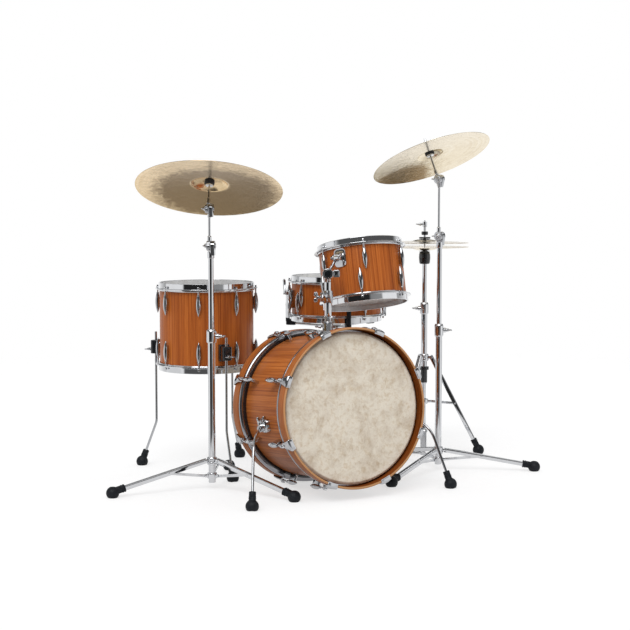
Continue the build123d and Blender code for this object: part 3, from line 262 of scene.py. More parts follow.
# Objects
def piece(name, surfaces, finish, body, replaced=(), sharp=SHARP):
    """One mesh from several grids: quads between neighbouring points, UV in metres across and down a grid."""
    points, quads, uvs = [], [], []
    count = 0
    for grid in surfaces:
        rows, columns = grid.shape[:2]
        index = np.arange(rows * columns).reshape(rows, columns) + count
        quad = np.stack([index[:-1, :-1], index[:-1, 1:], index[1:, 1:], index[1:, :-1]], -1).reshape(-1, 4)
        across = np.linalg.norm(np.diff(grid, axis=1), axis=2).max(0)
        down = np.linalg.norm(np.diff(grid, axis=0), axis=2).max(1)
        u = np.concatenate([[0], np.cumsum(across)])
        v = np.concatenate([[0], np.cumsum(down)])
        flat = np.stack(np.broadcast_arrays(u[None], v[:, None]), -1).reshape(-1, 2)
        points.append(grid.reshape(-1, 3))
        quads.append(quad)
        uvs.append(flat)
        count += rows * columns
    points = np.concatenate(points) * MM
    quads = np.concatenate(quads)
    uvs = np.concatenate(uvs) * MM
    mesh = bpy.data.meshes.new(name)
    mesh.from_pydata(points, [], quads)
    layer = mesh.uv_layers.new(name="surface")
    layer.data.foreach_set("uv", uvs[quads.reshape(-1)].astype(np.float32).ravel())
    return settle(name, mesh, finish, body, replaced, sharp)


def settle(name, mesh, finish, body, replaced, sharp):
    """Merge seams and poles, point faces outwards, shade smoothly between sharp edges, and ride on a body."""
    work = bmesh.new()
    work.from_mesh(mesh)
    bmesh.ops.remove_doubles(work, verts=work.verts, dist=2e-6)
    bmesh.ops.dissolve_degenerate(work, edges=work.edges, dist=1e-7)
    bmesh.ops.recalc_face_normals(work, faces=work.faces)
    work.to_mesh(mesh)
    work.free()
    mesh.polygons.foreach_set("use_smooth", np.ones(len(mesh.polygons), bool))
    mesh.set_sharp_from_angle(angle=radians(sharp))
    mesh.materials.clear()
    mesh.materials.append(finish)
    thing = bpy.data.objects.new(name, mesh)
    bpy.context.scene.collection.objects.link(thing)
    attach(thing, body)
    if replaced:
        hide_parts(*replaced)
    return thing


def smooth_copy(node, finish):
    """A CAD node's own shape with its triangles merged and its round faces shaded smoothly."""
    mesh = frame["nodes"][node].data.copy()
    return settle(node + "_skin", mesh, finish, BODY_OF[node], [node], CAD_SHARP)


dressed = set()


def dress(node, surfaces, finish, sharp=SHARP):
    """A piece that stands in for a CAD node."""
    dressed.add(node)
    return piece(node + "_piece", surfaces, finish, BODY_OF[node], [node], sharp)


def beside(name, node, surfaces, finish):
    """A piece of another material that rides with a CAD node."""
    return piece(name + "_piece", surfaces, finish, BODY_OF[node])


# Materials
class Nodes:
    """A node tree under construction: nodes are made by kind, and an input takes a value or an output."""

    def __init__(self, tree):
        self.tree = tree

    def node(self, kind, inputs=None, **settings):
        made = self.tree.nodes.new("ShaderNode" + kind)
        for key, value in settings.items():
            setattr(made, key, value)
        for key, value in (inputs or {}).items():
            if isinstance(value, bpy.types.NodeSocket):
                self.tree.links.new(value, made.inputs[key])
            else:
                made.inputs[key].default_value = value
        return made

    def ramp(self, factor, stops):
        """Colours by (place, colour) stops; a single number is a grey."""
        made = self.node("ValToRGB", {"Fac": factor})
        spots = made.color_ramp.elements
        while len(spots) < len(stops):
            spots.new(0.5)
        for element, (at, colour) in zip(spots, stops):
            element.position = at
            element.color = (*(np.ones(3) * colour), 1)
        return made.outputs["Color"]

    def mix(self, factor, a, b, blend="MIX"):
        a, b = (v if isinstance(v, bpy.types.NodeSocket) else (*v, 1) for v in (a, b))
        return self.node("Mix", {"Factor": factor, 6: a, 7: b}, data_type="RGBA", blend_type=blend).outputs[2]

    def stain(self, colour, amount, factor, stops):
        """Colour multiplied by a ramp."""
        return self.mix(amount, colour, self.ramp(factor, stops), "MULTIPLY")

    def math(self, operation, a, b=0.0):
        return self.node("Math", {0: a, 1: b}, operation=operation).outputs[0]

    def span(self, value, low, high, start=0.0, stop=1.0, curve="LINEAR"):
        """Value carried from start..stop to low..high."""
        ends = {"From Min": start, "From Max": stop, "To Min": low, "To Max": high}
        return self.node("MapRange", {"Value": value, **ends}, interpolation_type=curve).outputs["Result"]

    def length(self, coords):
        return self.node("VectorMath", {0: coords}, operation="LENGTH").outputs["Value"]

    def mirrored(self):
        """1 for rays sent on by a glossy or a clear surface."""
        ray = self.node("LightPath").outputs
        return self.math("MAXIMUM", ray["Is Glossy Ray"], ray["Is Transmission Ray"])


class Finish(Nodes):
    """A material's nodes, with its main shader's inputs by name."""

    def __init__(self, name, **sockets):
        self.material = bpy.data.materials.new(name)
        self.material.use_nodes = True
        super().__init__(self.material.node_tree)
        self.shader = self.tree.nodes["Principled BSDF"]
        for socket, value in sockets.items():
            self.shader.inputs[socket.replace("_", " ")].default_value = value

    def place(self, scale, f=None, source="Object"):
        """Object or UV coordinates, brought into a frame, then stretched by a scale along each axis."""
        if source == "UV":
            coords = self.node("UVMap", uv_map="surface").outputs["UV"]
        else:
            coords = self.node("TexCoord").outputs["Object"]
        if f is not None:
            turn = Matrix(f[:, :3].tolist()).to_euler()
            coords = self.node("Mapping", {"Vector": coords, "Location": f[:, 3] * MM, "Rotation": turn},
                               vector_type="TEXTURE").outputs["Vector"]
        return self.node("Mapping", {"Vector": coords, "Scale": np.ones(3) * scale}).outputs["Vector"]

    def noise(self, coords, detail=4.0, rough=0.55, warp=0.0):
        return self.node("TexNoise", {"Vector": coords, "Scale": 1.0, "Detail": detail, "Roughness": rough,
                                      "Distortion": warp}).outputs["Fac"]

    def bump(self, height, distance, strength):
        made = self.node("Bump", {"Height": height, "Distance": distance, "Strength": strength})
        self.to("Normal", made.outputs["Normal"])

    def to(self, socket, output):
        self.tree.links.new(output, self.shader.inputs[socket])


GRAIN_FINE = np.array([2.2, 2.2, 1.0])
GRAIN_LINE = np.array([3.4, 3.4, 0.7])
GRAIN_PORE = np.array([6.0, 6.0, 3.2])


def teak(name, f=None, source="Object", along=(70, 70, 2.2), tint=(1.0, 0.88, 0.72), shade=0.0):
    """Oiled open-grained wood: long streaks, tone bands, fine dark lines and short pores along one axis.

    With a shade radius in metres, the wood inside that radius of the kick's axis carries painted shade: it is
    darker and has less gloss and coat. The rounded edges at both ends of its hoops are paler.
    """
    gloss, coat = 0.14, 0.04
    m = Finish(name, Specular_IOR_Level=gloss, Coat_Weight=coat, Coat_Roughness=0.12)
    along = np.array(along)
    streak = m.noise(m.place(along * GRAIN_FINE, f, source), 8, 0.68, 0.3)
    band = m.noise(m.place(along * 0.3, f, source), 3, 0.5)
    line = m.noise(m.place(along * GRAIN_LINE, f, source), 2, 0.5, 0.2)
    pore = m.noise(m.place(along * GRAIN_PORE, f, source), 3, 0.6)
    colour = m.ramp(streak, [(0.28, (0.270, 0.066, 0.014)), (0.44, (0.450, 0.126, 0.026)),
                             (0.57, (0.570, 0.180, 0.040)), (0.74, (0.680, 0.250, 0.066))])
    colour = m.mix(1.0, colour, tint, "MULTIPLY")
    colour = m.stain(colour, 0.7, band, [(0.32, (0.70, 0.60, 0.52)), (0.5, 1), (0.7, (1.14, 1.18, 1.22))])
    colour = m.stain(colour, 0.7, line, [(0.54, 1), (0.66, (0.55, 0.46, 0.40))])
    colour = m.stain(colour, 0.7, pore, [(0.60, 1), (0.72, (0.45, 0.38, 0.32))])
    # Painted shade: within the shade radius, the hoops' inner faces are darkened and lose their gloss and
    # coat
    if shade:
        inside = m.span(m.length(m.place((1, 1, 0), KICK)), 0, 1, shade, shade + 0.002)
        colour = m.stain(colour, 1.0, inside, [(0, (0.46, 0.42, 0.40)), (1, 1)])
        m.to("Specular IOR Level", m.span(inside, 0.0, gloss))
        m.to("Coat Weight", m.span(inside, 0.0, coat))
        # The rounded outer edges of the hoops are coloured paler
        end = m.math("ABSOLUTE", m.node("SeparateXYZ", {"Vector": m.place(1, KICK)}).outputs["Z"])
        pale_ends = m.span(end, 0.0, 0.55, (HOOP_FRONT - 3.4) * MM, (HOOP_FRONT - 0.8) * MM)
        colour = m.mix(pale_ends, colour, (0.72, 0.44, 0.22))
    m.to("Base Color", colour)
    m.to("Roughness", m.span(pore, 0.30, 0.46))
    m.bump(m.math("ADD", pore, m.math("MULTIPLY", streak, 0.5)), 0.00012, 0.5)
    return m.material


def plain(name, cloud, stops, gloss, grain, relief, **sockets):
    """Finish whose colour and gloss follow one noise. Its relief follows a finer one or, with no grain scale,
    the same one."""
    m = Finish(name, **sockets)
    tone = m.noise(m.place(cloud[0]), *cloud[1:])
    m.to("Base Color", m.ramp(tone, stops))
    if gloss:
        m.to("Roughness", m.span(tone, *gloss))
    m.bump(m.noise(m.place(grain), 2) if grain else tone, *relief)
    return m.material


def chrome(name, shade, rough):
    """Polished plating: a faint cloud of wear in its gloss and a very slight waviness."""
    stops = [(0.3, tuple(0.94 * c for c in shade)), (0.7, shade)]
    return plain(name, (38, 5, 0.6), stops, (rough * 0.6, rough * 1.9), 90, (0.00003, 0.35), Metallic=1.0,
                 Roughness=rough)


def vellum(name, pale, stain, deep, rough=0.42):
    """Aged drum film: soft clouds of stain at two sizes over a pale ground, with a faint fibre grain."""
    m = Finish(name, Roughness=0.5, Specular_IOR_Level=0.35)
    cloud = m.noise(m.place(11), 7, 0.68, 0.5)
    patch = m.noise(m.place(58), 6, 0.68, 0.4)
    fibre = m.noise(m.place(160), 4, 0.65)
    colour = m.ramp(cloud, [(0.30, stain), (0.52, pale), (0.72, tuple(min(1, 1.05 * c) for c in pale))])
    colour = m.stain(colour, 0.8, patch, [(0.34, deep), (0.52, 1)])
    m.to("Base Color", m.stain(colour, 0.7, fibre, [(0.3, (0.90, 0.89, 0.87)), (0.6, 1)]))
    m.to("Roughness", m.span(fibre, rough, rough + 0.2))
    m.bump(fibre, 0.00012, 0.35)
    return m.material


def lean_way(tilt, bearing):
    """Direction that leans from upright by a tilt towards a bearing, both in degrees."""
    tilt, bearing = radians(tilt), radians(bearing)
    return sin(tilt) * cos(bearing), sin(tilt) * sin(bearing), cos(tilt)


def stem_frame(at, height, tilt, bearing):
    """Frame of a cymbal's stem, which stands beside its mast and leans by its tilt towards its bearing."""
    mast = spun(axes((*at, height)), bearing)
    return axes(spot(mast, 0, STEM_ASIDE), lean_way(tilt, bearing))


def bronze(name, bright, deep, brilliant, painted_reflection=None):
    """Lathed cymbal bronze: grooves by radius, hammer clouds, and highlights drawn out round the plate.

    The last argument, a frame with a bell radius, a patch radius in metres, a tint and a shift, paints a
    reflection of darker surroundings onto a patch outside the bell: its underside takes the tint, its top a
    third of it. The patch sits off centre by the shift, and its edge is broken up by the hammering.
    """
    m = Finish(name, Metallic=1.0, Anisotropic=0.6)
    groove = m.noise(m.place((0.6, 900, 1), None, "UV"), 3, 0.6)
    wide = m.noise(m.place((0.4, 90, 1), None, "UV"), 3, 0.55)
    hammer = m.noise(m.place(42), 3, 0.55, 0.8)
    colour = m.ramp(wide, [(0.3, deep), (0.65, bright)])
    colour = m.stain(colour, 0.7, groove, [(0.35, (0.88, 0.86, 0.83)), (0.65, 1)])
    colour = m.stain(colour, 0.6, hammer, [(0.3, (0.84, 0.80, 0.75)), (0.55, 1)])
    # Painted reflection: a darker patch outside the bell, full on the underside and a third as strong on top
    if painted_reflection:
        f, bell, rim, tint, shift = painted_reflection
        inner = m.span(m.length(m.place((1, 1, 0), f)), 0, 1, bell, bell * 1.12)
        jitter = m.math("MULTIPLY", m.math("SUBTRACT", hammer, 0.5), rim * 0.42)
        ragged = m.math("ADD", m.length(m.place((1, 1, 0), moved(f, *shift))), jitter)
        outer = m.span(ragged, 0, 1, rim * 0.96, rim * 0.74)
        normal = m.node("TexCoord").outputs["Normal"]
        facing = m.node("VectorMath", {0: normal, 1: f[:, 2]}, operation="DOT_PRODUCT").outputs["Value"]
        below = m.span(facing, 0.33, 1, 0.2, -0.2)
        colour = m.mix(m.math("MULTIPLY", m.math("MULTIPLY", inner, outer), below), colour, tint)
    m.to("Base Color", colour)
    m.to("Roughness", m.span(groove, 0.09 + brilliant, 0.20 + brilliant))
    tangent = m.node("Tangent", direction_type="UV_MAP", uv_map="surface")
    m.to("Tangent", tangent.outputs["Tangent"])
    m.bump(m.math("ADD", m.math("MULTIPLY", groove, 0.25), hammer), 0.0018, 0.5)
    return m.material


# Sizes and places, as in the part
KICK_TILT = radians(5.4)
KICK_RADIUS, KICK_DEPTH = 10 * INCH, 14 * INCH
KICK_HOOP = 278.0
HOOP_WIDTH, HOOP_LAP = 44, 19
HOOP_BACK = KICK_DEPTH / 2 - HOOP_LAP
HOOP_FRONT = HOOP_BACK + HOOP_WIDTH
KICK_HEIGHT = KICK_HOOP * cos(KICK_TILT) + HOOP_FRONT * sin(KICK_TILT)
KICK = axes((KICK_X, KICK_Y, KICK_HEIGHT), (0, -cos(KICK_TILT), sin(KICK_TILT)))
RACK_TILT = radians(12.5)
RACK = axes((KICK_X + 211, KICK_Y + 121, 755), (0, sin(RACK_TILT), cos(RACK_TILT)))
RACK_RADIUS, RACK_DEPTH = 6 * INCH, 7.5 * INCH
FLOOR_AT = (KICK_X - 225, KICK_Y + 550)
FLOOR_BASE = axes((*FLOOR_AT, 0))
FLOOR_TOM = moved(FLOOR_BASE, z=552)
FLOOR_RADIUS, FLOOR_DEPTH = 7 * INCH, 11.5 * INCH
SNARE_AT = (KICK_X + 343, KICK_Y + 556)
SNARE_MID = 640.0
SNARE = axes((*SNARE_AT, SNARE_MID))
SNARE_RADIUS, SNARE_DEPTH = 7 * INCH, 5.5 * INCH
HAT_AT = (KICK_X + 693.5, KICK_Y + 452)

# Boom stands: place, height of the cymbal's tilter, its tilt and bearing, and the cymbal's radius, bell
# radius and the rises of its bow and bell
LEFT_AT = (KICK_X - 366, KICK_Y + 189)
LEFT_TOP = 997
LEFT_LEAN = (21.1, 56.3)
RIDE_SHAPE = (10.25 * INCH, 66, 18, 26)
RIGHT_AT = (KICK_X + 537, KICK_Y + 105)
RIGHT_TOP = 1106
RIGHT_LEAN = (23.8, 108.2)
CRASH_SHAPE = (9 * INCH, 50, 17, 20)

CHROME = chrome("polished_chrome", (0.74, 0.75, 0.77), 0.04)
CAST = chrome("cast_chrome", (0.55, 0.56, 0.58), 0.07)
RING = chrome("ring_chrome", (0.36, 0.36, 0.38), 0.12)
# Moulded rubber with dusty high spots, enamel with an orange-peel ripple, and pressed wool with sheen
BLACK_RUBBER = plain("black_rubber", (55, 5, 0.6),
                     [(0.35, (0.005, 0.007, 0.010)), (0.75, (0.016, 0.019, 0.023))],
                     (0.42, 0.68), 1400, (0.00012, 0.4), Roughness=0.55, Specular_IOR_Level=0.25)
BLACK_ENAMEL = plain("black_enamel", (260, 2), [(0.3, (0.004, 0.005, 0.007)), (0.7, (0.011, 0.013, 0.016))],
                     (0.16, 0.3), 0, (0.00006, 0.4), Roughness=0.2, Coat_Weight=0.5, Coat_Roughness=0.08)
BLACK_FELT = plain("black_felt", (900, 6, 0.7, 1.2),
                   [(0.35, (0.008, 0.008, 0.009)), (0.7, (0.04, 0.04, 0.042))],
                   None, 0, (0.0006, 0.8), Roughness=0.95, Sheen_Weight=0.4, Sheen_Roughness=0.5)
FRONT_FILM = vellum("mottled_front_film", (0.90, 0.82, 0.69), (0.66, 0.55, 0.42), (0.80, 0.72, 0.61))
WHITE_FILM = vellum("coated_white_film", (0.86, 0.85, 0.82), (0.78, 0.77, 0.74), (0.94, 0.93, 0.92), 0.16)
# Painted reflections on the ride and crash: a frame, bell radius, patch radius, the darker patch's tint and
# its shift
RIDE_PAINTED_REFLECTION = (stem_frame(LEFT_AT, LEFT_TOP, *LEFT_LEAN), RIDE_SHAPE[1] * MM, RIDE_SHAPE[0] * MM,
            (0.29, 0.195, 0.09), (50, 41))
CRASH_PAINTED_REFLECTION = (stem_frame(RIGHT_AT, RIGHT_TOP, *RIGHT_LEAN), CRASH_SHAPE[1] * MM, 145 * MM,
             (0.40, 0.27, 0.12), (-30, 205))
RIDE_BRONZE = bronze("ride_bronze", (0.90, 0.71, 0.45), (0.80, 0.60, 0.35), 0.0, RIDE_PAINTED_REFLECTION)
CRASH_BRONZE = bronze("crash_bronze", (0.95, 0.86, 0.69), (0.87, 0.76, 0.56), 0.0, CRASH_PAINTED_REFLECTION)
HAT_BRONZE = bronze("hat_bronze", (0.92, 0.84, 0.68), (0.84, 0.74, 0.56), 0.02)


# Drum pieces, each drawn for the end that its frame's Z points to
DRUM_COLUMNS, KICK_COLUMNS = 144, 180
LUG_STANDOFF = 10.5


def each(make, places, *sizes):
    """All the surfaces that a maker gives for several places."""
    return [s for place in places for s in make(place, *sizes)]


def shell_surface(f, radius, depth):
    """Wooden cylinder with bearing edges cut on the inside."""
    half = depth / 2
    inner = radius - 6
    edge = inner + 4
    corners = [(radius, -half), (radius, half), (edge, half), (inner, half - 4), (inner, 4 - half),
               (edge, -half)]
    return turned(f, corners, 0.4, DRUM_COLUMNS)


def film_surface(f, radius, depth):
    """Film over the bearing edge with a rounded collar."""
    inner, outer = radius + 0.4, radius + 1
    corners = [(0, 0), (inner, 0), (inner, -9), (outer, -9), (outer, 0.6), (0, 0.6)]
    return turned(moved(f, z=depth / 2), corners, 0.3, DRUM_COLUMNS)


def flesh_surface(f, radius, depth):
    """Rolled metal ring that holds the film's edge, below the hoop's flange: an ellipse carried round."""
    section = circle(np.linspace(0, tau, 17)) * [2.7, 3.6] + [radius + 3.8, depth / 2 - 7]
    return lathe(f, section, DRUM_COLUMNS)


def hoop_surface(f, radius, depth):
    """Pressed hoop: a flange with a lip turned down, an upright band and a rim rolled inwards."""
    inner, lip, flange = radius + 1.8, radius + 14.5, radius + 16
    outer, rim = inner + 2.4, inner - 2.5
    corners = [(inner, 0), (lip, 0), (lip, -2.2), (flange, -2.2), (flange, 2.4), (outer, 2.4), (outer, 23),
               (rim, 23), (rim, 20.6), (inner, 20.6)]
    return turned(moved(f, z=depth / 2 - 3), corners, 1.3, DRUM_COLUMNS, 4)


def lug_surfaces(seat, standoff, length):
    """Teardrop spindle, its radius a parabola over its length, with a neck collar and a foot on the shell."""
    t = np.linspace(0, 1, 22)
    radius = 1.0 + 3.6 * t + 6.4 * 4 * t * (1 - t)
    tip = np.linspace(0, 1, 6)[:, None] * [1.0, 0] + [0, -length]
    body = np.column_stack([radius, (t - 1) * length])
    cap = [(5.4, 0.2), (5.9, 1.0), (5.9, 2.6), (5.2, 3.4), (0, 3.4)]
    foot = along_x(moved(seat, -1.5, 0, -length * 0.45))
    outline = stadium(length * 0.66, 9.5)[:, ::-1]
    return [lathe(moved(seat, standoff), np.vstack([tip, body, cap]), 28),
            slab(foot, outline, 0, standoff + 1, 1.5)]


def rod_surfaces(seat, reach, grip):
    """Key rod with a flanged washer and a square head."""
    head = moved(seat, z=reach)
    end = -grip - reach
    corners = [(0, end), (3, end), (3, 0), (6.2, 0), (6.2, 1.6), (3.6, 2.2), (3.6, 3), (0, 3)]
    return [turned(head, corners, 0.5, 20), slab(head, rectangle(6.4, 6.4, 1.2, 3), 2.6, 10, 0.9)]


def lug_seats(f, radius, depth, lugs, turn, low):
    return [around(f, radius, turn + k * 360 / lugs, depth / 2 - low) for k in range(lugs)]


def steel_drum(name, f, radius, depth, lugs, turn, wood, stagger=0.0):
    """All pieces of a drum with pressed hoops."""
    ends = (f, flipped(f))
    dress(name + "_shell", [shell_surface(f, radius, depth)], wood)
    dress(name + "_hoops", [hoop_surface(end, radius, depth) for end in ends], CHROME)
    dress(name + "_heads", [film_surface(end, radius, depth) for end in ends], WHITE_FILM)
    flesh = [flesh_surface(end, radius, depth) for end in ends]
    beside(name + "_flesh_rings", name + "_shell", flesh, CHROME)
    seats = []
    for end, at in zip(ends, (turn, -turn - stagger)):
        seats += lug_seats(end, radius, depth, lugs, at, 24)
    lug_set = each(lug_surfaces, seats, LUG_STANDOFF, 74)
    rod_set = each(rod_surfaces, [moved(seat, LUG_STANDOFF) for seat in seats], 23.4, 19)
    if name + "_tension_rods" in BODY_OF:
        dress(name + "_lugs", lug_set, CAST)
        dress(name + "_tension_rods", rod_set, CHROME)
    else:
        dress(name + "_lugs", lug_set + rod_set, CAST)


# Kick drum
KICK_ENDS = (KICK, flipped(KICK))
KICK_LUGS, KICK_TURN = 8, 22.5
KICK_LUG_LOW = 56
KICK_ROD = KICK_HOOP + 11 - KICK_RADIUS
CLAW_BACK = HOOP_BACK - 7


def kick_rings(corners, ease):
    """A profile turned round both ends of the kick, its heights counted from the hoops' back edges."""
    return [turned(moved(end, z=HOOP_BACK), corners, ease, KICK_COLUMNS, 5) for end in KICK_ENDS]


def claw_surfaces(f):
    """Claw: a strip carried over the hoop's rim, its width growing from the rod to the front, and a rod boss.

    Its outer face is raised by a parabola across the strip. Rows run across the strip, columns round its thin
    section; each point wraps the hoop's curve.
    """
    outside = KICK_HOOP + 3.7
    front = HOOP_FRONT + 3.6
    thick, crown = 3.2, 2.2
    corners = [(outside, CLAW_BACK), (outside + 6, CLAW_BACK + 14), (outside + 3, front),
               (KICK_HOOP - 8, front)]
    spine = eased(corners, 7, 8, False)
    slope = np.gradient(spine, axis=0) + [0, 1e-9]
    normal = np.column_stack([slope[:, 1], -slope[:, 0]])
    normal /= lengths(normal)
    under = spine - normal * thick
    share = np.clip((spine[:, 1] - CLAW_BACK) / (front - CLAW_BACK), 0, 1)
    half = 9 + 12 * share ** 2.0
    half = half * (1 - 0.5 * np.clip((outside - 4 - spine[:, 0]) / 16, 0, 1) ** 2)
    loop, core = strip(spine, under)
    wide = np.concatenate([half, half[::-1], half[:1]])
    u = np.array([-1, -1, -0.97, -0.9, -0.6, -0.2, 0.2, 0.6, 0.9, 0.97, 1, 1])[:, None]
    flat = np.array([1, 0.55, 0.15, 0, 0, 0, 0, 0, 0, 0.15, 0.55, 1])[:, None, None]
    pillow = np.vstack([normal, 0 * normal, normal[:1]])[None] * (crown * (1 - u ** 2))[..., None]
    section = (loop[None] + pillow) * (1 - flat) + core[None] * flat
    y = u * wide
    x = np.sqrt(section[..., 0] ** 2 - y ** 2)
    boss = moved(f, KICK_RADIUS + KICK_ROD)
    return [placed(f, np.stack([x, y, section[..., 1]], -1)),
            barrel(boss, 7.5, CLAW_BACK, CLAW_BACK + 14, 1.6, 28)]


# Stand pieces
BASE_TUBE, UPPER_TUBE, LEG_ROD = 12.7, 9.5, 4.75
BASE_BORE, UPPER_BORE = 11.2, 7.8
TILTER = 17.0  # radius
TEETH = (24, 0.28)  # count and depth
GAP = 0.3  # from a tilter's half to the plane where both meet
MAST_ASIDE = 4.8  # from a tube to its boom, and from the boom to its stem


def foot_surface(tip, way):
    """Rubber ball foot with ribs at its neck, pressed flat where it meets the floor."""
    ball = circle(np.linspace(-0.95, 0.93, 18), 22.6) + [0, 15]
    neck = [(12.4, 36), (12.0, 39), (13.0, 40), (13.0, 43), (11.8, 44), (12.6, 45), (12.6, 48), (11.4, 49),
            (12.0, 50), (12.0, 62), (10.5, 64), (5.0, 64), (0, 64)]
    return on_floor(lathe(axes(tip, way), np.vstack([[(0, -8)], ball, neck]), 36))


def wing_pair(f, out, up, lean, size, rows=13, columns=24):
    """Two rounded wings, either side of a screw, that lean outwards."""
    seats = [axes(spot(f, side * out, 0, up), f[:, 2] + side * lean * f[:, 0], f[:, 0]) for side in (-1, 1)]
    return [pebble(seat, *size, 0.85, rows, columns) for seat in seats]


def wing_surfaces(seat, reach):
    """Wing screw: shank, ringed boss and two wings."""
    boss = turned(seat, [(0, 0), (3, 0), (3, reach - 1), (6.2, reach - 1), (6.2, reach + 3), (5.4, reach + 4),
                         (5.4, reach + 9), (0, reach + 10)], 0.7, 28)
    return [boss, *wing_pair(seat, 10.54, reach + 12.08, 0.45, (6.8, 2.6, 8.84), 15, 28)]


def leg_frame(at, angle, inner, outer):
    """Frame along a leg from its collar pin to its foot, and the leg's length."""
    spoke = spun(axes((*at, 0)), angle)
    start, finish = (spot(spoke, r, 0, z) for r, z in (inner, outer))
    return axes(start, finish - start, spoke[:, 1]), np.linalg.norm(finish - start)


def channel_surface(f, length):
    """Pressed channel open below: outer and inner paths joined at their lips, closed on its own mid line."""
    up = 1 if f[2, 1] > 0 else -1
    outer = eased([(-9, -8), (-9, 8), (9, 8), (9, -8)], 4.5, 5, False) * [1, up]
    inner = eased([(-7.4, -8), (-7.4, 6.4), (7.4, 6.4), (7.4, -8)], 3.2, 5, False) * [1, up]
    loop, core = strip(outer, inner)
    return placed(f, stacked(np.stack([core, loop, loop, core]), [-8, -8, length - 12, length - 12]))


def pin_surface(f, z):
    """Rivet across a leg with domed heads."""
    half = 10.5
    under = half - 1.6
    corners = [(0, -half), (3.6, -half), (4, -under), (2.5, -under), (2.5, under), (4, under),
               (3.6, half), (0, half)]
    return turned(along_x(moved(f, z=z)), corners, 0.5, 20)


def boot_surfaces(f, length, sole):
    """Rubber boot: a sleeve along the leg with two ribs, over a round sole pressed onto the floor."""
    ball = circle(np.linspace(-0.78, 1.15, 18), 22.8) + [0, 16]
    parts = [lathe(axes(sole), np.vstack([[(0, 0)], ball, [(0, 37.5)]]), 40),
             slab(f, rectangle(25.5, 23.5, 8), length - 46, length + 6, 3.5)]
    parts += [slab(moved(f, z=length - up), rectangle(28, 26, 9), 0, 5, 2) for up in (45, 37)]
    return [on_floor(s) for s in parts]


def tripod(at, turn, collar, reach, brace_collar, share):
    """Channel legs with their braces and rivets, and the rubber boots of a stand."""
    inner, outer = (31.0, collar), (reach, 20.0)
    brace_end = tuple(a + (b - a) * share for a, b in zip(inner, outer))
    legs, boots = [], []
    for third in THIRDS:
        f, length = leg_frame(at, turn + third, inner, outer)
        g, brace = leg_frame(at, turn + third, (25.0, brace_collar), brace_end)
        flat = np.column_stack([g[:, 2], g[:, 1], -g[:, 0], g[:, 3]])
        legs += [channel_surface(f, length), pin_surface(f, 0), pin_surface(f, length * share),
                 slab(moved(flat, x=brace / 2), stadium(brace + 10, 10), -2, 2, 0.6)]
        boots += boot_surfaces(f, length, around(axes((*at, 0)), reach, turn + third)[:, 3])
    return legs, boots


def collar_surfaces(at, turn, height, brace):
    """Turned ring on a tube with tabs for the legs or the braces."""
    base = axes((*at, height))
    if brace:
        corners = [(12.7, -10), (17, -10), (18, -7), (18, 7), (17, 10), (12.7, 10)]
    else:
        corners = [(12.7, -14), (17, -14), (19, -10), (19, -4), (17.6, -3), (17.6, 3), (19, 4), (19, 10),
                   (17, 14), (12.7, 14)]
    parts = [turned(base, corners, 1.2)]
    for third in THIRDS:
        f = spun(base, turn + third)
        flat = np.column_stack([f[:, 0], f[:, 2], -f[:, 1], f[:, 3]])
        if brace:
            parts += [slab(moved(flat, x=21.5), stadium(18, 11), low, low + 3, 0.8) for low in (2.4, -5.4)]
        else:
            parts.append(slab(moved(flat, x=27), stadium(22, 13), -4, 4, 1.2))
    return parts


def screw_seat(f, height, bearing):
    """Frame with Z outwards at a bearing and X level."""
    return along_x(spun(moved(f, z=height), bearing))


def tube_surfaces(at, turn, foot, clamp, collar, brace_collar, wing, waist):
    """Lower tube of a stand, slim below any waist, with its collars and a height clamp with a boss on top."""
    base = axes((*at, 0))
    if waist:
        tube = turned(base, [(7.4, foot), (9, foot), (9, waist), (BASE_TUBE, waist), (BASE_TUBE, clamp),
                             (BASE_BORE, clamp), (BASE_BORE, waist + 6), (7.4, waist + 6)], 0.5)
    else:
        tube = barrel(base, BASE_TUBE, foot, clamp, 0.5, bore=BASE_BORE)
    ring = [(9.9, -24), (15.5, -24), (17.5, -19), (17.5, 17), (15.8, 21), (14.4, 24), (9.9, 24)]
    boss = [(0, 10), (10.5, 10), (9, 20), (9, 27), (3.2, 27), (0, 27)]
    return [tube, *collar_surfaces(at, turn, collar, False), *collar_surfaces(at, turn, brace_collar, True),
            turned(moved(base, z=clamp), ring, 1.6), turned(screw_seat(base, clamp, wing), boss, 1.2, 28)]


def mast_surfaces(at, low, tilter):
    """Sliding tube of a stand with the socket below its tilter."""
    top = axes((*at, tilter))
    socket = [(0, -44), (11.4, -44), (12.5, -42), (12.5, -22), (10, -19.5), (0, -19.5)]
    return [barrel(top, UPPER_TUBE, low - tilter, -26, 0.4, bore=UPPER_BORE), turned(top, socket, 0.8)]


def toothed(hinge, low, high):
    """Disc of a tilter with a rounded rim and teeth round it."""
    corners = [(0, low), (TILTER - 1, low), (TILTER, low + 1.5), (TILTER, high - 1.5),
               (TILTER - 1, high), (0, high)]
    return turned(hinge, corners, 0.7, 144, 3, TEETH)


def cheek(center, across, side, neck, reach, thick=9.3):
    """Cheek of a tilter: a plate round the hinge that narrows to its stem below (-1) or above (1)."""
    arc = circle(np.linspace(radians(62), radians(298), 30), TILTER + GAP)
    outline = np.vstack([arc, [(reach, -neck), (reach, neck)], arc[:1]])
    low, high = sorted((side * GAP, side * thick))
    return slab(axes(center, across, (0, 0, side)), outline, low, high, 1.6)


def turning_half(center, across, thick=9.3):
    """Disc of the half of a tilter that turns."""
    return toothed(axes(center, across), GAP, thick)


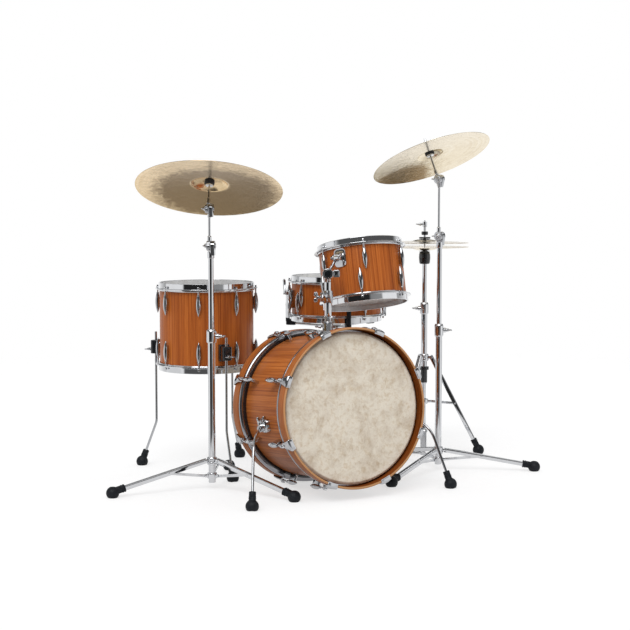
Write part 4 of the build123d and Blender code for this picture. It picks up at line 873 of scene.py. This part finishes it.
def fixed_half(center, across, neck, reach, thick=9.3):
    """Half of a tilter that stays: cheek, toothed disc, bolt and wing nut."""
    hinge = axes(center, across)
    nut = moved(hinge, z=thick)
    bolt = [(0, -thick - 4), (6.5, -thick - 4), (8.5, -thick - 2.4), (8.5, GAP - thick), (4, GAP - thick),
            (4, thick + 9), (0, thick + 9)]
    return [cheek(center, across, -1, neck, reach, thick), toothed(hinge, -thick, -GAP),
            turned(hinge, bolt, 0.8, 32),
            turned(nut, [(4, 0.4), (9.4, 0.4), (9.4, 2.7), (7.6, 3.7), (6.6, 8), (4, 8)], 0.7, 32),
            *wing_pair(nut, 12.5, 6.8, 0.5, (8.0, 2.8, 6.4))]


def cymbal_surface(f, radius, bell, rise, bell_rise):
    """Bowed plate with a bell: radius against height as two arcs, carried round, top then underside."""
    thick, bore = 1.4, 6.5
    foot = -bell_rise
    t = np.linspace(0, 1, 44)
    bow_z = foot - rise * (0.68 * t + 0.32 * t ** 2)
    s = np.linspace(0, 1, 26)[:-1]
    bell_z = foot + bell_rise * (1 - s ** 2.4) ** 0.85
    r = np.concatenate([bore + (bell - bore) * s, bell + (radius - bell) * t])
    top = np.column_stack([r, np.concatenate([bell_z, bow_z])])
    under = (top - [0, thick])[::-1]
    edge = [(radius + 0.35, bow_z[-1] - thick / 2)]
    return lathe(f, np.vstack([top, edge, under, top[:1]]), 192)


def felt_surface(f, low, high, wide, crown):
    """Felt washer, rounded, its upper side crowned towards the bell."""
    bore = 4.6
    if crown:
        corners = [(bore, low), (wide, low), (wide, high - crown), (wide * 0.5, high - crown * 0.3),
                   (bore, high)]
    else:
        corners = [(bore, low), (wide, low), (wide, high), (bore, high)]
    return turned(f, corners, 3.2, 48, 5)


def boom_stand(side, at, clamp, tilter, top_tilter, lean, reach, name, shape, finish):
    """Sliding tube, boom, tilter, felts and cymbal of a boom stand."""
    base = axes((*at, 0))
    across = spun(base, lean[1])[:, 1]
    shift = across * MAST_ASIDE
    pivot = spot(base, z=tilter)
    top = spot(base, z=top_tilter) + shift

    dress(side + "_stand_upper_tube", mast_surfaces(at, clamp - 190, tilter), CHROME)
    beside(side + "_tube_tilter", side + "_stand_upper_tube", fixed_half(pivot, across, 12, 34, 14.5), CAST)

    profile = [(0, tilter + 10), (7, tilter + 12), (8, tilter + 20), (7.5, tilter + 32), (6, tilter + 34),
               (4.5, tilter + 34.5), (4.5, top_tilter - 33), (6, top_tilter - 32), (6.5, top_tilter - 30),
               (6.5, top_tilter - 18.5), (0, top_tilter - 18.5)]
    halves = [turning_half(pivot, across, 14.5), *fixed_half(top, across, 9, 30, 13.5)]
    dress(side + "_stand_boom", [turned(axes(base[:, 3] + shift), profile, 0.8)], CHROME)
    beside(side + "_boom_tilters", side + "_stand_boom", halves, CAST)

    stem = axes(top + shift, lean_way(*lean), across)
    seat = moved(stem, z=reach)
    washer = reach - shape[3] - 1.5
    nut = moved(stem, z=reach + 15)
    profile = [(0, 14), (6, 15), (6.8, 18), (6.5, 36), (5, 39), (4, 39.5), (4, washer - 4), (14, washer - 4),
               (14, washer - 0.3), (4, washer - 0.3), (4, reach + 45), (3, reach + 46), (0, reach + 46)]
    holder = [turned(stem, profile, 0.6),
              turned(nut, [(4.1, 0), (8, 0), (7.4, 3), (6.4, 10), (4.1, 10)], 0.7, 32)]
    beside(side + "_holder_tilter", side + "_cymbal_tilter", [turning_half(top, across, 13.5)], CAST)
    dress(side + "_cymbal_tilter", holder + wing_pair(nut, 12, 9, 0.55, (6.4, 2.5, 7.4)), CHROME)

    felts = [felt_surface(stem, washer, reach - 2.6, 18, 6.5),
             felt_surface(flipped(seat), -14.7, -0.8, 17, 2.2)]
    dress(side + "_cymbal_felts", felts, BLACK_FELT)
    dress(name, [cymbal_surface(seat, *shape)], finish, CYMBAL_SHARP)


# Kick drum, rack tom, floor tom and snare
KICK_TEAK = teak("kick_teak", KICK, tint=(1.0, 1.0, 1.0))
# Hoop wood: its inner faces, inside 271.2 mm of the kick's axis, carry painted shade
HOOP_TEAK = teak("hoop_teak", None, "UV", (2.2, 90, 1), (0.94, 0.96, 1.0), 0.2712)
RACK_TEAK = teak("rack_tom_teak", RACK)
FLOOR_TEAK = teak("floor_tom_teak", FLOOR_TOM)
SNARE_TEAK = teak("snare_teak", SNARE)

dress("kick_shell", [shell_surface(KICK, KICK_RADIUS, KICK_DEPTH)], KICK_TEAK)
inner = KICK_HOOP - 8
hoop = [(inner, 0), (KICK_HOOP, 0), (KICK_HOOP, HOOP_WIDTH), (inner, HOOP_WIDTH)]
dress("kick_hoops", kick_rings(hoop, 3.2), HOOP_TEAK)
# Film that turns down over the bearing edge into a sloping collar
inner, outer = KICK_RADIUS + 9, KICK_RADIUS + 10
film = [(0, HOOP_LAP), (KICK_RADIUS, HOOP_LAP), (inner, 10), (inner, 0), (outer, 0), (outer, 10),
        (KICK_RADIUS + 0.6, HOOP_LAP + 0.6), (0, HOOP_LAP + 0.6)]
dress("kick_heads", kick_rings(film, 3.0), FRONT_FILM)
# Metal ring that shows as a bright line between the hoop and the shell
inner, crown = KICK_RADIUS + 0.6, KICK_HOOP - 1.0
ring = [(inner, -17), (crown - 5, -16), (crown, -12), (crown, -4), (crown - 4, -1), (inner, -1)]
beside("kick_flesh_rings", "kick_shell", kick_rings(ring, 2.4), RING)
# Painted shadow: a thin black enamel ring on the shell beside each metal ring stands in for the dark shadow
# line there
shadow_lines = [barrel(moved(end, z=HOOP_BACK), KICK_RADIUS + 10, -20, -16.8, 0.4, KICK_COLUMNS, KICK_RADIUS + 0.6)
           for end in KICK_ENDS]
beside("kick_shadow_lines", "kick_shell", shadow_lines, BLACK_ENAMEL)
kick_claws = each(lug_seats, KICK_ENDS, 0, 0, KICK_LUGS, KICK_TURN, 0)
dress("kick_claws", each(claw_surfaces, kick_claws), CAST)
kick_seats = each(lug_seats, KICK_ENDS, KICK_RADIUS, KICK_DEPTH, KICK_LUGS, KICK_TURN, KICK_LUG_LOW)
dress("kick_lugs", each(lug_surfaces, kick_seats, KICK_ROD, 72), CAST)
rod_reach = HOOP_BACK + 7 - (KICK_DEPTH / 2 - KICK_LUG_LOW)
kick_rods = [moved(seat, KICK_ROD) for seat in kick_seats]
dress("kick_tension_rods", each(rod_surfaces, kick_rods, rod_reach, 19), CHROME)

steel_drum("rack_tom", RACK, RACK_RADIUS, RACK_DEPTH, 6, 244.8, RACK_TEAK, -8)
steel_drum("floor_tom", FLOOR_TOM, FLOOR_RADIUS, FLOOR_DEPTH, 8, 237.1, FLOOR_TEAK)
steel_drum("snare", SNARE, SNARE_RADIUS, SNARE_DEPTH, 8, 194.6, SNARE_TEAK, -7)


# Spurs and floor tom legs: bent rods with rubber feet
def bent_leg(node, points, bend):
    """Bent rod with a domed top, and its rubber foot."""
    foot = np.array(points[-1], float)
    way = unit(np.array(points[-2]) - foot)
    path = bent([*points[:-1], foot + way * 30], bend)
    top = axes(path[0], path[0] - path[1])
    cap = turned(top, [(0, -2), (LEG_ROD, -2), (LEG_ROD, 1), (LEG_ROD - 2, 3), (0, 3.4)], 0.6, 24)
    dress(node, [sweep(path, LEG_ROD), cap], CAST)
    beside(node + "_foot", node, [foot_surface(foot, way)], BLACK_RUBBER)


KICK_BASE = axes((KICK_X, KICK_Y, 0))
SPUR = np.array([(262, -10, 248), (350, -120, 225), (396, -202, 0)])
spur_screws = []
for side, word in ((-1, "left"), (1, "right")):
    clamp, bend, foot = KICK_BASE[:, 3] + SPUR * [side, 1, 1]
    way = unit(bend - clamp)
    bent_leg("kick_spur_" + word, [clamp + way * 6, bend, foot], 110)
    spur_screws.append(moved(axes(clamp + way * 22, np.array([0, 0, 1]) - way * way[2]), z=13))

LEG_CIRCLE = 210
FLOOR_TURNS = {"left": 135.0, "front": 266.0, "right": 38.0}
for word, angle in FLOOR_TURNS.items():
    spoke = spun(FLOOR_BASE, angle)
    points = [spot(spoke, LEG_CIRCLE, 0, 521), spot(spoke, LEG_CIRCLE, 0, 175), spot(spoke, 278)]
    bent_leg("floor_tom_leg_" + word, points, 60)


def bracket_surfaces(angle):
    """Clamp block on the floor tom: an eased block round the leg, and a base plate on the shell."""
    f = around(FLOOR_BASE, LEG_CIRCLE, angle, 465)
    return [slab(f, rectangle(34, 36, 10), -26, 26, 3),
            slab(moved(f, x=-26), rectangle(20, 40, 5), -31, 31, 3)]


dress("floor_tom_leg_brackets", each(bracket_surfaces, FLOOR_TURNS.values()), BLACK_ENAMEL)

# Stands: place, turn of the legs, foot of the tube, clamp, collar, brace collar, foot circle, brace share,
# bearing of the wing screw, waist of the tube
LEFT_CLAMP, RIGHT_CLAMP = 547, 537
STANDS = {"left": (LEFT_AT, 175.9, 24, LEFT_CLAMP, 102, 49, 365, 0.4, -28, 0),
          "right": (RIGHT_AT, 209.7, 24, RIGHT_CLAMP, 78, 43, 365, 0.4, -28, 0),
          "hihat": (HAT_AT, -35, 104, 592, 392, 213, 223, 0.5, 152, 286),
          "snare": (SNARE_AT, 80, 40, 330, 265, 135, 195, 0.5, 90, 0)}
legs, boots, wings, tubes = [], [], [], {}
for name, (at, turn, foot, clamp, collar, brace, reach, share, bearing, waist) in STANDS.items():
    tubes[name] = tube_surfaces(at, turn, foot, clamp, collar, brace, bearing, waist)
    wings += wing_surfaces(moved(screw_seat(axes((*at, 0)), clamp, bearing), z=10.2), 18.4)
    channels, soles = tripod(at, turn, collar, reach, brace, share)
    legs += channels
    boots += soles
dress("cymbal_stand_base_tubes", tubes["left"] + tubes["right"], CHROME)
dress("stand_legs", legs, CHROME)
dress("stand_feet", boots, BLACK_RUBBER)
boom_stand("left", LEFT_AT, LEFT_CLAMP, 866, LEFT_TOP, LEFT_LEAN, 117,
           "ride_cymbal", RIDE_SHAPE, RIDE_BRONZE)
boom_stand("right", RIGHT_AT, RIGHT_CLAMP, 892, RIGHT_TOP, RIGHT_LEAN, 121,
           "crash_cymbal", CRASH_SHAPE, CRASH_BRONZE)

# Hi-hat stand
HAT = axes((*HAT_AT, 0))
HAT_SEAT = 826.0
HAT_SHAPE = (7 * INCH, 50, 6.5, 7.5)
BELL = HAT_SEAT + 2 * 14 + 18
cup = moved(HAT, z=HAT_SEAT)
clutch = moved(HAT, z=BELL)
dress("hihat_base_tube", tubes["hihat"], CHROME)
sleeve = [(12.8, 290), (13.6, 290), (13.6, 340), (20, 342), (20, 355), (12.8, 355)]
beside("hihat_tube_sleeve", "hihat_base_tube", [turned(HAT, sleeve, 1.2, 48)], BLACK_ENAMEL)
dress("hihat_upper_tube", [barrel(HAT, UPPER_TUBE, 412, 778, 0.4, bore=UPPER_BORE)], CHROME)
bowl = [(9.6, -54), (19, -54), (21.5, -49), (23.4, -30), (22.5, -14), (20, -8), (3.8, -8), (3.8, -48),
        (9.6, -48)]
dress("hihat_seat", [turned(cup, bowl, 1.6, 56)], BLACK_ENAMEL)
pad = [(3.8, -7.8), (21, -7.8), (22, -5), (14, -3), (8, -0.4), (3.8, -0.4)]
beside("hihat_seat_felt", "hihat_seat", [turned(cup, pad, 1.2, 48)], BLACK_FELT)
dress("hihat_bottom_cymbal", [cymbal_surface(flipped(cup), *HAT_SHAPE)], HAT_BRONZE, CYMBAL_SHARP)
dress("hihat_top_cymbal", [cymbal_surface(clutch, *HAT_SHAPE)], HAT_BRONZE, CYMBAL_SHARP)
grip = [(3.2, -14), (5.6, -14), (5.6, -11), (11, -11), (11, -6.3), (5.6, -6.3), (5.6, 50), (9.5, 50),
        (9.5, 70), (3.2, 70)]
pull = [barrel(HAT, 3.2, 90, BELL + 76, 1.2, 24), turned(clutch, grip, 0.8, 40)]
pull += wing_surfaces(moved(screw_seat(clutch, 60, 152), z=7), 8)
pull.append(slab(spun(HAT, 145), rectangle(4, 12, 1), 76, 92, 0.8))
dress("hihat_pull_rod", pull, CHROME)
nut = [(5.7, 17), (12, 17), (13.5, 19), (13.5, 29), (12, 31), (5.7, 31)]
beside("hihat_clutch_nut", "hihat_pull_rod", [turned(clutch, nut, 1.2, 40)], BLACK_ENAMEL)
felts = [felt_surface(clutch, -6.0, -2.6, 13, 0), felt_surface(clutch, 1.6, 8.4, 23, 0)]
beside("hihat_clutch_felts", "hihat_pull_rod", felts, BLACK_FELT)

# Snare stand
SNARE_BASE = axes((*SNARE_AT, 0))
SNARE_TILTER = 488.0
RIM = SNARE_MID - SNARE_DEPTH / 2 - 20
ARM_CIRCLE = 204.5
HUB = 524
level = SNARE_BASE[:, 0]
basket_pivot = spot(SNARE_BASE, z=SNARE_TILTER)
dress("snare_stand_base_tube", tubes["snare"], CHROME)
mast = mast_surfaces(SNARE_AT, 150, SNARE_TILTER) + fixed_half(basket_pivot, level, 9, 26)
dress("snare_stand_upper_tube", mast, CHROME)
hub = [(0, -9), (20, -9), (22, -6), (22, 6), (20, 9), (0, 9)]
basket = [turning_half(basket_pivot, level), cheek(basket_pivot, level, 1, 9, 32),
          turned(moved(SNARE_BASE, z=HUB), hub, 1.5)]
grips = []
for third in THIRDS:
    spoke = spun(SNARE_BASE, 14.7 + third)
    arm = moved(spoke, ARM_CIRCLE, 0, RIM)
    basket.append(sweep(bent([spot(spoke, 14, 0, HUB), spot(arm, z=-15), spot(arm, z=50)], 14), 5))
    grips.append(slab(moved(arm, -14), rectangle(40, 20, 7), -24, -0.3, 3.5))
    grips.append(turned(arm, [(0, -10), (8.5, -10), (8.5, 62), (7.5, 70), (0, 74)], 3, 32))
dress("snare_basket", basket, CHROME)
dress("snare_basket_grips", grips, BLACK_RUBBER)

# Remaining wing screws
for angle in FLOOR_TURNS.values():
    wings += wing_surfaces(moved(screw_seat(FLOOR_BASE, 455, angle), z=227), 5)
wings += each(wing_surfaces, [moved(screw_seat(KICK_BASE, 580, 152), z=19), *spur_screws], 6)
dress("stand_wing_screws", wings, CAST)

# Knuckle of the tom arm: a black cap in a chrome rim faces the audience, and a clamp block stands beside it
KNUCKLE = axes((KICK_X, KICK_Y, 768), (0.4726, 0.8813, 0), (0.8813, -0.4726, 0))
beside("tom_knuckle_cap", "tom_arm", [barrel(KNUCKLE, 12.8, -28.5, -20.6, 1.5)], BLACK_ENAMEL)
beside("tom_knuckle_rim", "tom_arm", [barrel(KNUCKLE, 18.6, -27.0, -20.6, 1.8, 48, 12.2)], CHROME)
beside("tom_post_sleeve", "tom_upper_post", [barrel(KICK_BASE, 12.4, 618, 742, 1.0)], CHROME)
block = [slab(moved(KNUCKLE, 31), rectangle(22, 26, 4), -12, 12, 2.0),
         slab(moved(KNUCKLE, 18), rectangle(14, 18, 2), -9, 9, 1.0)]
beside("tom_knuckle_block", "tom_upper_post", block, CHROME)

# The rest keep their CAD shape, shaded smoothly
for node in sorted(set(BODY_OF) - dressed):
    look = {"chrome": CHROME if node in ("tom_upper_post", "tom_arm") else CAST, "black_metal": BLACK_ENAMEL}
    smooth_copy(node, look[SLOT_OF[node]])


# Stage, light and camera
def studio():
    """White studio: camera rays see white, metal sees soft boxes with dark gaps by compass bearing, and the
    rest of the light is an even dome."""
    world = bpy.data.worlds.new("studio")
    bpy.context.scene.world = world
    world.use_nodes = True
    world.node_tree.nodes.clear()
    m = Nodes(world.node_tree)
    axis = m.node("SeparateXYZ", {"Vector": m.node("TexCoord").outputs["Generated"]}).outputs
    turn = m.span(m.math("ARCTAN2", axis["Y"], axis["X"]), 0, 1, -pi, pi)
    # Position 0 is bearing 180 degrees, so a bearing b sits at (b + 180) / 360 less whole turns
    boxes = m.ramp(turn, [(0.00, 0.95), (0.020, 0.95), (0.032, 0.02), (0.195, 0.02), (0.212, 0.26),
                          (0.292, 0.32), (0.304, 1.0), (0.425, 1.0), (0.437, 0.36), (0.52, 0.8), (0.56, 1.0),
                          (0.77, 1.0), (0.862, 0.45), (0.875, 0.95)])
    under = m.ramp(turn, [(0.00, 0.9), (0.020, 0.9), (0.032, 0.1), (0.195, 0.1), (0.30, 0.7), (0.50, 1.0),
                          (0.80, 1.0), (0.83, 0.8)])
    level = m.mix(m.span(axis["Z"], 0, 1, -0.10, -0.22), boxes, under)
    overhead = m.ramp(axis["Z"], [(0.20, 0.45), (0.30, 0.10), (0.54, 0.10), (0.61, 0.85), (0.80, 0.95),
                                  (0.85, 0.25)])
    upper = m.mix(m.span(axis["Z"], 0, 1, 0.20, 0.28), level, overhead)
    dome = m.ramp(m.span(axis["Z"], 0, 1, -1.0, 1.0), [(0, (0.42, 0.42, 0.43)), (1, (0.74, 0.74, 0.75))])
    seen = m.mix(m.mirrored(), dome, upper)
    white = m.mix(m.node("LightPath").outputs["Is Camera Ray"], seen, (1, 1, 1))
    background = m.node("Background", {"Color": white, "Strength": 1.0})
    m.node("OutputWorld", {"Surface": background.outputs[0]})


def stage():
    """Pale round floor that keeps the shadow and fades out at its rim, and a soft key light."""
    rim = np.column_stack([circle(np.linspace(0, tau, 97)[:-1], 5.0), np.zeros(96)])
    mesh = bpy.data.meshes.new("studio_floor")
    mesh.from_pydata(rim, [], [list(range(len(rim)))])
    floor = bpy.data.objects.new("studio_floor", mesh)
    bpy.context.scene.collection.objects.link(floor)
    m = Finish("pale_floor", Roughness=0.9, Specular_IOR_Level=0.1, Emission_Color=(1, 1, 1, 1))
    m.to("Base Color", m.ramp(m.noise(m.place(3), 3), [(0.3, 0.39), (0.7, 0.41)]))
    mirrored = m.mirrored()
    direct = m.math("MULTIPLY", m.node("LightPath").outputs["Is Camera Ray"], 0.63)
    m.to("Emission Strength", m.math("ADD", direct, m.math("MULTIPLY", mirrored, 0.45)))
    near, far = m.span(mirrored, 2.2, 0.85), m.span(mirrored, 4.6, 1.2)
    away = m.length(m.node("TexCoord").outputs["Object"])
    m.to("Alpha", m.span(away, 1.0, 0.0, near, far, "SMOOTHSTEP"))
    mesh.materials.append(m.material)

    lamp = bpy.data.lights.new("key", "SUN")
    lamp.energy = 1.35
    lamp.angle = radians(38)
    key = bpy.data.objects.new("key", lamp)
    key.rotation_euler = Vector((-0.55, -0.62, 0.95)).to_track_quat("Z", "Y").to_euler()
    bpy.context.scene.collection.objects.link(key)


def camera():
    """Camera at the photograph's place: a 79.5 mm lens on a 36 mm sensor, without roll."""
    data = bpy.data.cameras.new("camera")
    data.lens = 79.5
    data.sensor_width = 36
    data.clip_end = 200
    view = bpy.data.objects.new("camera", data)
    view.location = ((KICK_X - 2355.5) * MM, (KICK_Y - 4300.3) * MM, 1005.9 * MM)
    view.rotation_euler = Vector((0.4708, 0.8788, -0.0782)).to_track_quat("-Z", "Y").to_euler()
    bpy.context.scene.collection.objects.link(view)
    bpy.context.scene.camera = view


studio()
stage()
camera()
bpy.context.scene.view_settings.view_transform = "Standard"
